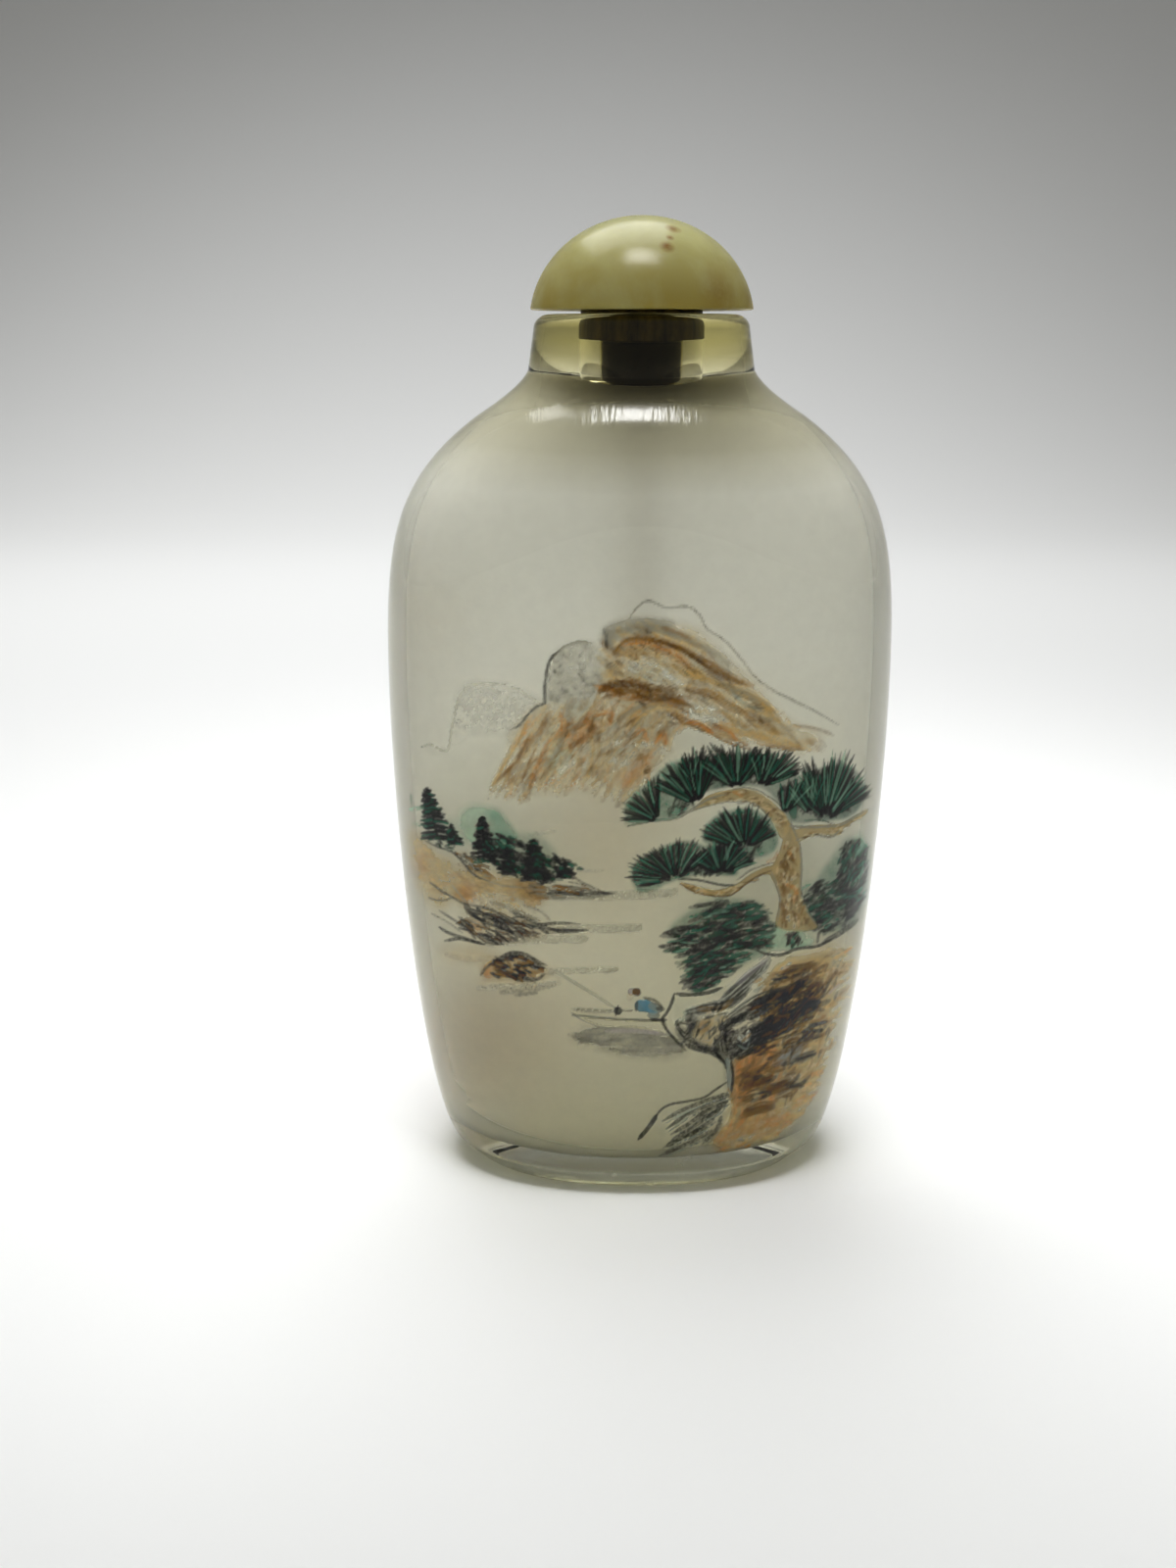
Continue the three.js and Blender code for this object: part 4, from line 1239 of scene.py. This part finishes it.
cliff = dict(
    dabs=[
        (230, 16, 32, 12, 4, 0.45, 0.6, "ochre brown honey brown tan umber", [(776, 1000), (838, 978),
         (866, 966), (866, 1010), (850, 1050), (838, 1100), (806, 1130), (790, 1100), (800, 1050),
         (770, 1040)]),
        (130, 14, 58, 16, 4, 0.45, 0.6, "rust ochre umber brown rust", [(750, 1080), (790, 1062),
         (800, 1090), (790, 1130), (760, 1150), (744, 1150)]),
        (90, 13, 26, 14, 4, 0.42, 0.6, "ochre cream rust tan honey", [(726, 1160), (800, 1130),
         (836, 1090), (840, 1116), (790, 1162), (740, 1178)]),
        (90, 22, 34, 8, 5, 0.8, 0.5, "black ink black umber", [(742, 1040), (780, 1012), (838, 996),
         (836, 1030), (800, 1052), (760, 1078), (744, 1070)]),
        (36, 16, 38, 8, 3, 0.55, 0.4, "pale cream haze", [(704, 1036), (760, 1000), (800, 976),
         (806, 990), (770, 1020), (740, 1038)]),
    ],
    grain=[
        (90, 9, 40, 30, 2.4, 0.7, 0.3, "ink black smoke", [(690, 1040), (740, 1022), (750, 1070),
         (730, 1074), (700, 1066)]),
        (130, 13, 26, 12, 2.8, 0.65, 0.3, "umber black ink brown", [(770, 1000), (840, 980), (836, 1060),
         (790, 1080), (760, 1070)]),
        (80, 15, 24, 14, 3.4, 0.6, 0.4, "umber ink brown umber", [(750, 1090), (800, 1070), (820, 1110),
         (760, 1140)]),
        (70, 14, 62, 12, 2.4, 0.5, 0.3, "umber brown ink", [(800, 1000), (862, 980), (850, 1040),
         (836, 1100), (800, 1130)]),
    ],
    pools=[
        ("pale", 0.7, 2, 0.3, [(686, 1016), (706, 1018), (722, 1020), (762, 990), (782, 974), (806, 972),
         (788, 990), (760, 1016), (724, 1036), (694, 1042), (684, 1040)]),
        ("honey", 0.7, 3, 0.4, [(790, 980), (830, 972), (866, 962), (868, 990), (850, 1030), (842, 1080),
         (820, 1130), (790, 1160), (740, 1172), (726, 1160), (744, 1140), (746, 1090), (770, 1060),
         (780, 1010)]),
        ("cream", 0.5, 4, 0.3, [(848, 968), (878, 944), (876, 990), (862, 1040), (850, 1090), (838, 1090),
         (850, 1020)]),
        ("ochre", 0.6, 3, 0.5, [(776, 1000), (800, 984), (840, 980), (836, 1000), (800, 1012),
         (772, 1020)]),
        ("tan", 0.7, 2, 0.4, [(706, 1044), (726, 1036), (744, 1036), (736, 1058), (724, 1068),
         (706, 1058)]),
        ("brown", 0.6, 2, 0.4, [(710, 1044), (722, 1040), (726, 1050), (714, 1056)]),
        ("rust", 0.85, 3, 0.35, [(748, 1084), (764, 1074), (786, 1066), (792, 1080), (776, 1100),
         (762, 1120), (748, 1118)]),
        ("rust", 0.45, 3, 0.5, [(790, 1010), (830, 1006), (838, 1022), (800, 1036), (780, 1040)]),
        ("rust", 0.6, 4, 0.5, [(726, 1156), (760, 1146), (800, 1134), (808, 1142), (780, 1156),
         (736, 1170)]),
        ("slate", 0.6, 1, 0.4, [(806, 1058), (820, 1056), (824, 1080), (808, 1088), (794, 1080)]),
        ("smoke", 0.6, 1, 0.4, [(782, 1098), (804, 1094), (816, 1104), (800, 1116), (780, 1112)]),
        ("mint", 0.3, 2, 0.4, [(686, 1018), (704, 1020), (704, 1036), (690, 1044)]),
        ("pale", 0.5, 2, 0.3, [(662, 1146), (680, 1132), (712, 1128), (700, 1140), (676, 1158)]),
        ("slate", 0.45, 2, 0.3, [(740, 1078), (748, 1082), (748, 1116), (740, 1104)]),
    ],
    bands=[
        ("ink", 12, 0.75, 0.6, [(738, 1022), (756, 1006), (774, 990), (784, 978)]),
        ("violet", 7, 0.6, 0.5, [(752, 1004), (768, 990), (782, 978)]),
        ("pale", 4.5, 0.75, 0.3, [(722, 1020), (744, 1006), (764, 990), (786, 975)]),
        ("ink", 9, 0.75, 0.6, [(700, 1034), (722, 1028), (746, 1024), (764, 1008)]),
        ("brown", 6, 0.5, 0.6, [(712, 1030), (736, 1028), (748, 1020)]),
        ("pale", 4.5, 0.75, 0.3, [(738, 1036), (756, 1026), (770, 1012), (778, 1006)]),
        ("ink", 9, 0.9, 0.4, [(742, 1044), (762, 1030), (782, 1018), (808, 1010), (828, 1000)]),
        ("black", 7, 0.8, 0.4, [(768, 1028), (792, 1020), (812, 1014)]),
        ("ink", 11, 0.9, 0.4, [(742, 1044), (740, 1060), (744, 1076)]),
        ("black", 13, 0.92, 0.35, [(750, 1074), (772, 1060), (800, 1048), (812, 1038)]),
        ("black", 11, 0.9, 0.4, [(770, 1062), (796, 1044), (820, 1030), (836, 1022)]),
        ("ink", 9, 0.85, 0.4, [(776, 1050), (800, 1036), (824, 1024), (834, 1020)]),
        ("ink", 10, 0.8, 0.5, [(732, 1058), (734, 1074), (742, 1084)]),
        ("ink", 11, 0.85, 0.5, [(692, 1048), (700, 1058), (706, 1044), (702, 1036)]),
        ("ink", 9, 0.8, 0.5, [(704, 1062), (718, 1070), (732, 1072)]),
        ("pale", 6, 0.8, 0.2, [(754, 1056), (762, 1060), (764, 1052)]),
        ("slate", 4, 0.7, 0.3, [(752, 1066), (762, 1070), (766, 1056)]),
        ("umber", 8, 0.7, 0.5, [(800, 990), (820, 986), (832, 984)]),
        ("brown", 6, 0.55, 0.6, [(784, 998), (800, 994), (822, 992)]),
        ("umber", 6, 0.75, 0.5, [(800, 1070), (816, 1064), (832, 1052)]),
        ("ink", 7, 0.75, 0.5, [(810, 1082), (824, 1078), (832, 1074)]),
        ("smoke", 9, 0.7, 0.4, [(790, 1086), (806, 1078), (818, 1070)]),
        ("umber", 7, 0.75, 0.4, [(758, 1112), (774, 1104), (788, 1098)]),
        ("umber", 9, 0.75, 0.4, [(776, 1116), (794, 1110), (808, 1106)]),
        ("umber", 9, 0.75, 0.4, [(760, 1136), (776, 1130), (790, 1128)]),
        ("brown", 5, 0.6, 0.5, [(752, 1142), (770, 1136), (784, 1134)]),
        ("umber", 5, 0.6, 0.5, [(834, 1006), (840, 1010), (836, 1014)]),
        ("brown", 3, 0.5, 0.5, [(840, 990), (846, 982)]),
        ("violet", 3, 0.5, 0.5, [(846, 1014), (858, 1004)]),
        ("brown", 3, 0.45, 0.5, [(850, 1060), (846, 1072)]),
        ("rust", 3, 0.5, 0.5, [(862, 972), (870, 966)]),
        ("brown", 2, 0.5, 0.4, [(806, 1096), (814, 1102)]),
    ],
    lines=[
        ("ink", 3, 0.85, 0.2, [(772, 970), (784, 974), (798, 974), (814, 968), (832, 966), (842, 962),
         (852, 956)]),
        ("ink", 5.5, 0.8, 0.5, [(840, 962), (854, 954), (866, 946), (876, 938)]),
        ("ink", 3, 0.7, 0.3, [(834, 962), (836, 952), (842, 948)]),
        ("ink", 4, 0.85, 0.2, [(736, 1008), (722, 1013), (704, 1015), (688, 1014)]),
        ("ink", 3.2, 0.85, 0.2, [(688, 1014), (685, 1024), (680, 1034), (676, 1040), (680, 1050),
         (690, 1062), (700, 1072)]),
        ("ink", 5, 0.85, 0.3, [(700, 1066), (710, 1070), (726, 1074), (734, 1080)]),
        ("ink", 3.2, 0.8, 0.2, [(730, 1074), (738, 1082), (742, 1092)]),
        ("slate", 5, 0.7, 0.2, [(742, 1080), (744, 1094), (745, 1112)]),
        ("ink", 2.6, 0.85, 0.2, [(746, 1082), (748, 1098), (746, 1116)]),
        ("ink", 2.4, 0.8, 0.2, [(742, 1104), (730, 1112), (718, 1120), (700, 1124), (684, 1127),
         (674, 1133), (666, 1144)]),
        ("ink", 4.4, 0.9, 0.2, [(670, 1138), (662, 1150), (651, 1163)]),
    ],
    reeds=[
        [(744, 1118), (722, 1128), (700, 1138), (680, 1152)],
        [(742, 1124), (720, 1134), (704, 1146), (684, 1158)],
        [(734, 1132), (716, 1144), (698, 1156), (680, 1168)],
        [(728, 1142), (710, 1154), (694, 1162), (676, 1172)],
        [(742, 1116), (718, 1124), (694, 1134), (676, 1144)],
        [(726, 1154), (708, 1164), (690, 1172), (672, 1180)],
        [(736, 1140), (730, 1154), (716, 1168)],
        [(720, 1150), (700, 1160)],
        [(740, 1126), (728, 1136), (712, 1142)],
    ],
)


def paints(names):
    return [paint[name] for name in names.split()]


def layPools(sheet, pools):
    # washes: paint, cover, softness, mottling, outline, and the rows over which some die out
    for name, strength, soft, mottle, outline, *fade in pools:
        wash(sheet, outline, paint[name], strength, soft, mottle, *fade)


def layLines(sheet, lines, taper=(0.5, 0.3)):
    # strokes: paint, width, cover, dryness, points
    for name, width, strength, dry, points in lines:
        brushLine(sheet, points, width, paint[name], strength, taper, dry)


def layBands(sheet, bands):
    # broad marks, each a bundle of dry hairs that drift apart: paint, width, cover, dryness, points
    for name, width, strength, dry, points in bands:
        points = np.array(points, float)
        brushLine(sheet, points, width, paint[name], strength * 0.55, (0.5, 0.4), dry)
        for _ in range(int(width * 0.9)):
            drift = sheet.random.normal(size=2) * width * 0.28
            wander = sheet.random.normal(size=points.shape) * width * 0.1
            brushLine(sheet, points + drift + wander, 1.8, paint[name], strength * 0.6, (0.3, 0.2), dry * 0.5)


def layDabs(sheet, dabs):
    # short marks: how many, how long, slant and its spread, width, cover, dryness, paints, outline
    for count, length, slant, spread, width, strength, dry, names, outline in dabs:
        hatch(sheet, outline, count, length, slant, width, paints(names), strength, spread, dry)


def paintMountain(sheet):
    layPools(sheet, mountain["pools"])
    layDabs(sheet, mountain["dabs"])
    layBands(sheet, mountain["bands"])
    layLines(sheet, mountain["lines"])
    layDabs(sheet, mountain["grain"])


def conifer(sheet, tip, top, foot, base, half):
    # a leaning fir from its tip down, in short level brush marks that widen downwards
    rows = int((base - top) / 2.2)
    for row in range(rows):
        share = row / rows
        middle = tip + (foot - tip) * share
        for side in (-1, 1):
            for _ in range(3):
                size = half * (0.25 + 0.75 * share ** 0.7) * (0.5 + 0.6 * sheet.random.random())
                height = top + (base - top) * share + sheet.random.normal() * 1.4
                points = [(middle, height), (middle + side * size * 0.6, height + 0.8),
                          (middle + side * size, height + 2.4 * sheet.random.random())]
                brushLine(sheet, points, 2.6, paint["needle" if sheet.random.random() < 0.75 else "leaf"],
                          0.85, (1, 0.3), 0.3)


def paintBank(sheet):
    layPools(sheet, bank["pools"])
    for tree in bank["trees"]:
        conifer(sheet, *tree)
    layDabs(sheet, bank["dabs"])
    layLines(sheet, bank["lines"])
    layDabs(sheet, bank["grain"])


def layBeds(sheet, beds, soft, mottle):
    for name, strength, outline in beds:
        wash(sheet, outline, paint[name], strength, soft, mottle)


def paintBoat(sheet):
    layDabs(sheet, boat["ripples"])
    wash(sheet, boat["shadow"], paint["smoke"], 0.5, 3, 0.7)
    wash(sheet, boat["shadow"], paint["grey"], 0.4, 5, 0.7)
    wash(sheet, boat["hull"], paint["cream"], 0.9, 0.5, 0.1)
    layLines(sheet, boat["lines"] + boat["face"] + boat["hat"] + boat["robe"])


def paintPine(sheet):
    layBeds(sheet, pineTree["wood"], 0.5, 0.25)
    layLines(sheet, pineTree["lines"])
    layDabs(sheet, pineTree["bark"])
    layBeds(sheet, pineTree["beds"], 1, 0.5)
    dark, light = paints("needle needle pine black"), paints("mint teal")
    for centre, rim, count, width in pineTree["fans"]:
        needles(sheet, centre, rim, count, width, dark, 0.95, 0.12, 0.3)
    for outline, count, length, slant, width in pineTree["masses"]:
        hatch(sheet, outline, count, length, slant, width, dark, 0.75, 28)
    for centre, rim, count, width in pineTree["fans"]:
        needles(sheet, centre, rim, count // 3, width * 0.7, light, 0.6, 0.2, 0.3)


def paintShrubs(sheet):
    layBeds(sheet, shrubs["beds"], 2, 0.6)
    dark, light = paints("needle black pine leaf ink"), paints("mint teal")
    for outline, count, length, slant, width in shrubs["masses"]:
        hatch(sheet, outline, count, length, slant, width, dark, 0.85, 12, 0.4)
        hatch(sheet, outline, count // 7, length * 0.8, slant, width * 0.7, light, 0.6, 12, 0.4)


def paintCliff(sheet):
    layPools(sheet, cliff["pools"])
    layDabs(sheet, cliff["dabs"])
    layBands(sheet, cliff["bands"])
    layLines(sheet, cliff["lines"])
    for reed in cliff["reeds"]:
        brushLine(sheet, reed, 4.0, paint["ink"], 0.8, (0.7, 0.2), 0.6)
        brushLine(sheet, np.array(reed) + (2, 3), 2.4, paint["slate"], 0.6, (0.7, 0.2), 0.6)
    layDabs(sheet, cliff["grain"])


def paintFront():
    far, near = Sheet(canvas, 11), Sheet(canvas, 23)
    paintMountain(far)
    layLines(far, water, (0.8, 0.8))
    for stage in (paintBank, paintBoat, paintShrubs, paintCliff, paintPine):
        stage(near)
    return far, near


# where the picture's camera sees each point of the inner wall, through the polished glass


def outsideShape():
    rows = outsideRows()
    rows = rows[rows[:, 3] > bottle["ridgeHeight"]]
    return rows[np.argsort(rows[:, 3], kind="stable")]


def outsideField(points, shape):
    # below 0 inside the outer skin, 0 on it
    halfWidth, halfDepth, square = (np.interp(points[:, 2], shape[:, 3], shape[:, k]) for k in (0, 1, 2))
    reach = np.abs(points[:, 0] / halfWidth) ** square + np.abs(points[:, 1] / halfDepth) ** square
    return reach ** (1 / square) - 1


def outsideSlope(points, shape):
    step = 0.05
    sides = [outsideField(points + step * axis, shape) - outsideField(points - step * axis, shape)
             for axis in np.eye(3)]
    return np.stack(sides, 1) / (2 * step)


def pictureOf(points):
    # pixels of the picture for points in front of the camera
    pitch = math.radians(view["pitch"])
    away = points - np.array(view["place"])
    ahead = away[:, 1] * math.cos(pitch) - away[:, 2] * math.sin(pitch)
    rise = away[:, 1] * math.sin(pitch) + away[:, 2] * math.cos(pitch)
    across = view["wide"] / 2 + view["focalPixels"] * away[:, 0] / ahead
    return np.stack([across, view["high"] / 2 - view["focalPixels"] * rise / ahead], 1)


def seenThroughGlass(points):
    # each pass finds where the bent ray leaves the skin, then bends it again at that place
    shape, eye = outsideShape(), np.array(view["place"])
    ray = points - eye
    ray /= np.linalg.norm(ray, axis=1)[:, None]
    bent, gap = ray.copy(), np.full(len(points), bottle["wall"])
    for _ in range(6):
        for _ in range(3):
            skin = points - bent * gap[:, None]
            slope = outsideSlope(skin, shape)
            gap = gap + outsideField(skin, shape) / np.einsum("ij,ij->i", slope, bent)
            gap = np.clip(gap, 0, 12)
        skin = points - bent * gap[:, None]
        normal = outsideSlope(skin, shape)
        normal /= np.linalg.norm(normal, axis=1)[:, None]
        ray = skin - eye
        ray /= np.linalg.norm(ray, axis=1)[:, None]
        facing = np.clip(-np.einsum("ij,ij->i", ray, normal), 0.02, 1)
        thin = 1 / glass["index"]
        inside = np.sqrt(1 - thin ** 2 * (1 - facing ** 2))
        bent = thin * ray + (thin * facing - inside)[:, None] * normal
    return pictureOf(skin)


def wallGrid(low, high, start, end, pitch, lift):
    # points on the inner wall between two heights and two turns, lifted into the glass
    rows = insideRows()
    rows = rows[(rows[:, 3] < bottle["boreRoot"]) & (np.arange(len(rows)) > 14)]
    rows = rows[np.argsort(rows[:, 3], kind="stable")]
    heights = np.arange(low, high, pitch)
    rows = np.stack([np.interp(heights, rows[:, 3], rows[:, k]) for k in range(3)] + [heights], 1)
    widest = rows[np.argmax(rows[:, 0])][None, :]
    turns = np.radians(np.linspace(start, end, 2000))
    x, y = outlineAt(widest, turns[None, :])
    gone = np.concatenate([[0], np.cumsum(np.hypot(np.diff(x[0]), np.diff(y[0])))])
    turns = np.interp(np.arange(0, gone[-1], pitch), gone, turns)
    x, y = outlineAt(rows, turns[None, :])
    grid = np.stack([x, y, np.repeat(heights[:, None], len(turns), 1)], 2)
    across, up = np.gradient(grid, axis=1), np.gradient(grid, axis=0)
    normal = np.cross(across, up)
    normal /= np.linalg.norm(normal, axis=2)[:, :, None]
    return grid + normal * lift


def pickUp(sheet, pixels):
    # the sheet's paint at these pixels, between its own pixels
    place = np.clip((pixels - sheet.origin) * sheet.fine - 0.5, 0, [sheet.wide - 2, sheet.high - 2])
    i, j = place[:, 1].astype(int), place[:, 0].astype(int)
    v, u = (place[:, 1] - i)[:, None], (place[:, 0] - j)[:, None]
    p = sheet.paint
    upper, lower = (p[row, j] * (1 - u) + p[row, j + 1] * u for row in (i, i + 1))
    return upper * (1 - v) + lower * v


def toLight(colour):
    # from what a screen is told to how much light it gives
    return np.where(colour <= 0.04045, colour / 12.92, ((colour + 0.055) / 1.055) ** 2.4)


def paintFilm(name, sheet, grid, pixels, material):
    # only where there is paint; its colour and cover go into one colour attribute
    rows, cols = grid.shape[:2]
    got = pickUp(sheet, pixels)
    cover = got[:, 3]
    colour = (got[:, :3] / np.maximum(cover, 1e-4)[:, None]).clip(0, 1)
    linear = toLight(0.5 + (colour - 0.5) * film["calm"])
    # paint paler than the light on it allows is laid thinner, so that the lit wall brightens it
    most = film["light"] * film["brightest"] + film["veil"]
    cover = cover * np.clip((film["wall"] - linear.mean(1)) / (film["wall"] - most), film["thinnest"], 1)
    linear *= np.minimum(1, most / linear.max(1).clip(1e-4))[:, None]
    linear = np.clip((linear - film["veil"]) / film["light"], 0, film["brightest"])
    index = np.arange(rows * cols).reshape(rows, cols)
    corners = np.stack([index[:-1, :-1], index[:-1, 1:], index[1:, 1:], index[1:, :-1]], 2).reshape(-1, 4)
    corners = corners[cover[corners].max(1) > film["least"]]
    used, faces = np.unique(corners, return_inverse=True)
    piece = meshPiece(name, grid.reshape(-1, 3)[used], faces.reshape(-1, 4).tolist(), [material])
    pigment = piece.data.color_attributes.new("pigment", "FLOAT_COLOR", "POINT")
    pigment.data.foreach_set("color", np.hstack([linear, cover[:, None]])[used].ravel())
    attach(piece, "root")
    print(name, len(corners), "faces")
    return piece


def paintMaterial(name):
    material, tree, shader = newMaterial(name)
    pigment = addNode(tree, "ShaderNodeAttribute", attribute_name="pigment")
    setInputs(shader, Base_Color=pigment.outputs["Color"], Alpha=pigment.outputs["Alpha"], Roughness=1,
              Specular_IOR_Level=0)
    return material


# films: the far scenery lies against the wall, the near scenery just over it; light and veil are what
# the lit room adds to a film, so that the paints come out as they look on the wall
film = dict(
    calm=0.88,
    light=0.26,
    veil=0.03,
    brightest=0.9,
    wall=0.37,
    thinnest=0.25,
    least=0.02,
    farPitch=0.14,
    nearPitch=0.1,
    farLift=0.03,
    nearLift=0.06,
    low=3.2,
    high=56,
    start=181,
    end=359,
)


def makeFront():
    material = paintMaterial("water colour")
    for name, sheet in zip(("far", "near"), paintFront()):
        pitch, lift = film[name + "Pitch"], film[name + "Lift"]
        grid = wallGrid(film["low"], film["high"], film["start"], film["end"], pitch, lift)
        pixels = seenThroughGlass(grid.reshape(-1, 3))
        paintFilm(name + "Scenery", sheet, grid, pixels, material)


makeFront()
print("front painted")

# the back wall's plainer scene: millimetres across as seen from behind, and down from backTop
backSheet = dict(left=-21, top=0, wide=42, high=58, fine=9, backTop=60.0, start=2, end=178, pitch=0.16,
                 lift=0.03)

backScene = dict(
    pools=[
        # this wide grey wash covers the lower back wall and darkens the lower body seen from the front
        ("grey", 0.5, 3, 0.3, [(-19, 30), (0, 28), (19, 30), (19, 56), (-19, 56)]),
        ("tan", 0.5, 2.5, 0.5, [(-2, 24), (2, 20), (6, 24), (7, 34), (5, 42), (-1, 40), (-3, 32)]),
        ("honey", 0.6, 1.6, 0.5, [(-1, 26), (3, 23), (5, 30), (4, 39), (0, 38)]),
        ("ochre", 0.7, 1.4, 0.5, [(6, 50), (10, 47), (15, 46), (18, 49), (17, 56), (7, 56)]),
        ("rust", 0.45, 1.2, 0.5, [(9, 50), (13, 48), (16, 51), (13, 54)]),
        ("honey", 0.45, 1.6, 0.5, [(15, 8), (19, 10), (20, 17), (16, 16)]),
        ("haze", 0.5, 1, 0.6, [(-14, 24), (-10, 17), (-7, 20), (-4, 16), (0, 22), (-2, 27), (-13, 27)]),
        ("mint", 0.45, 0.8, 0.5, [(-17, 36), (-12, 33), (-7, 35), (-5, 38), (-16, 39)]),
        ("tan", 0.6, 1, 0.5, [(-18, 40), (-11, 38), (-5, 40), (-3, 43), (-16, 45)]),
        ("grey", 0.4, 2, 0.5, [(-16, 48), (4, 47), (6, 55), (-14, 56)]),
    ],
    lines=[
        ("smoke", 0.22, 0.6, 0.3, [(-14, 24), (-11, 18), (-9.6, 17), (-8, 20), (-6, 17.4), (-4, 16),
         (-1, 20), (1, 24)]),
        ("ink", 0.3, 0.7, 0.3, [(6, 50), (8.5, 47.4), (11, 46.2), (14, 45.6), (17, 47.6), (18, 50)]),
        ("ink", 0.26, 0.7, 0.3, [(9, 50), (11, 48.5), (13, 49), (14, 52)]),
        ("ink", 0.26, 0.7, 0.3, [(-18, 40.5), (-12, 38.4), (-6, 40), (-3, 43)]),
        ("umber", 0.7, 0.9, 0.3, [(11.6, 47), (11.2, 43), (12.2, 39.4), (11.4, 36), (12.6, 33.4)]),
        ("umber", 0.4, 0.85, 0.3, [(11.8, 39.6), (9.6, 37.4), (8, 37)]),
        ("umber", 0.4, 0.85, 0.3, [(11.6, 37), (14, 35.4), (15.6, 35.8)]),
        ("grey", 0.5, 0.6, 0.4, [(-3, 44), (3, 43.6), (5, 44)]),
        ("grey", 0.5, 0.6, 0.4, [(-5, 47), (0, 46.8), (3.4, 47)]),
        ("grey", 0.5, 0.5, 0.4, [(-15, 48.6), (-10, 48.2), (-7, 48.5)]),
    ],
    dabs=[
        (90, 1.4, 40, 16, 0.22, 0.6, 0.3, "umber ink brown", [(7, 50), (11, 46.6), (15, 46), (17.4, 50),
         (16, 55), (8, 55)]),
        (60, 1.3, 160, 12, 0.2, 0.6, 0.3, "brown smoke", [(-17, 40.4), (-11, 38.8), (-5, 41), (-8, 43.6),
         (-16, 44)]),
    ],
    crowns=[
        ((12.6, 33), 2.6, 1.5),
        ((8, 36.6), 2, 1.1),
        ((15.6, 35.2), 2, 1.2),
    ],
    firs=[
        (-15, 31, 38.5, 1.3),
        (-13, 33, 38.6, 1),
        (-10.4, 32, 38.6, 1.2),
        (-8, 34.4, 39, 0.9),
    ],
)


def paintBack():
    sheet = Sheet(backSheet, 41)
    layPools(sheet, backScene["pools"])
    layLines(sheet, backScene["lines"])
    layDabs(sheet, backScene["dabs"])
    dark = paints("pine needle leaf")
    for (x, y), wide, high in backScene["crowns"]:
        edge, side = y + 0.3, y - high * 0.8
        rim = [(x - wide, edge), (x - wide * 0.6, side), (x, y - high), (x + wide * 0.6, side),
               (x + wide, edge)]
        wash(sheet, rim, paint["teal"], 0.8, 0.15, 0.4)
        needles(sheet, (x, y + 0.4), rim, 46, 0.24, dark)
    for tip, top, base, half in backScene["firs"]:
        for row in np.arange(top, base, 0.22):
            spread = half * (0.2 + 0.8 * (row - top) / (base - top))
            left, right, under = tip - spread, tip + spread, row + 0.3
            level = [(left, row), (right, row), (right, under), (left, under)]
            hatch(sheet, level, 4, 0.7, 0, 0.26, dark, 0.85, 20)
    return sheet


def makeBack():
    grid = wallGrid(film["low"], film["high"], *(backSheet[key] for key in ("start", "end", "pitch", "lift")))
    points = grid.reshape(-1, 3)
    seen = np.stack([-points[:, 0], backSheet["backTop"] - points[:, 2]], 1)
    paintFilm("backScenery", paintBack(), grid, seen, paintMaterial("back water colour"))


makeBack()
print("back painted")

# studio, in metres: a white sweep, one soft box overhead and a wide soft light behind;
# lamps are name, place, target, size, power and spread in degrees
studio = dict(
    floorNear=-3.0,
    floorFar=0.46,
    sweepRadius=0.5,
    top=1.6,
    wide=2.4,
    paper=(0.83, 0.84, 0.84),
    paperRoughness=0.9,
    lamps=[
        ("overhead", (0, -0.062, 0.42), (0.014, 0.042, 0), (0.17, 0.12), 0.077, 42),
        ("behind", (-0.07, 0.3, 0.52), (-0.03, 0.3, 0), (0.5, 0.4), 1.55, 138),
    ],
    room=(1, 0.98, 0.93),
    roomStrength=0.2,
)


def addStage():
    far, radius, half = studio["floorFar"], studio["sweepRadius"], studio["wide"] / 2
    curve = [(studio["floorNear"], 0.0), (far, 0.0)]
    curve += [(far + radius * math.cos(t), radius + radius * math.sin(t))
              for t in np.radians(np.linspace(-90, 0, 25))[1:]]
    curve.append((far + radius, studio["top"]))
    points = [(x / mm, y / mm, z / mm) for y, z in curve for x in (-half, half)]
    faces = [(2 * k, 2 * k + 1, 2 * k + 3, 2 * k + 2) for k in range(len(curve) - 1)]
    material, _, shader = newMaterial("paper sweep")
    setInputs(shader, Roughness=studio["paperRoughness"], Base_Color=studio["paper"])
    sweep = meshPiece("sweep", points, faces, [material])


def addLight(name, place, target, size, power, spread):
    lamp = bpy.data.lights.new(name, "AREA")
    lamp.shape = "RECTANGLE"
    lamp.size, lamp.size_y = size
    lamp.energy = power
    lamp.spread = math.radians(spread)
    light = bpy.data.objects.new(name, lamp)
    light.location = place
    direction = np.array(target, float) - np.array(place, float)
    light.rotation_euler = Vector(direction).to_track_quat("-Z", "Y").to_euler()
    bpy.context.scene.collection.objects.link(light)
    return light


def addLights():
    for lamp in studio["lamps"]:
        addLight(*lamp)
    world = bpy.data.worlds.new("room")
    world.use_nodes = True
    setInputs(world.node_tree.nodes["Background"], Color=studio["room"], Strength=studio["roomStrength"])
    scene = bpy.context.scene
    scene.world = world
    scene.view_settings.view_transform = "Standard"
    scene.view_settings.look = "Medium High Contrast"


addStage()
addLights()
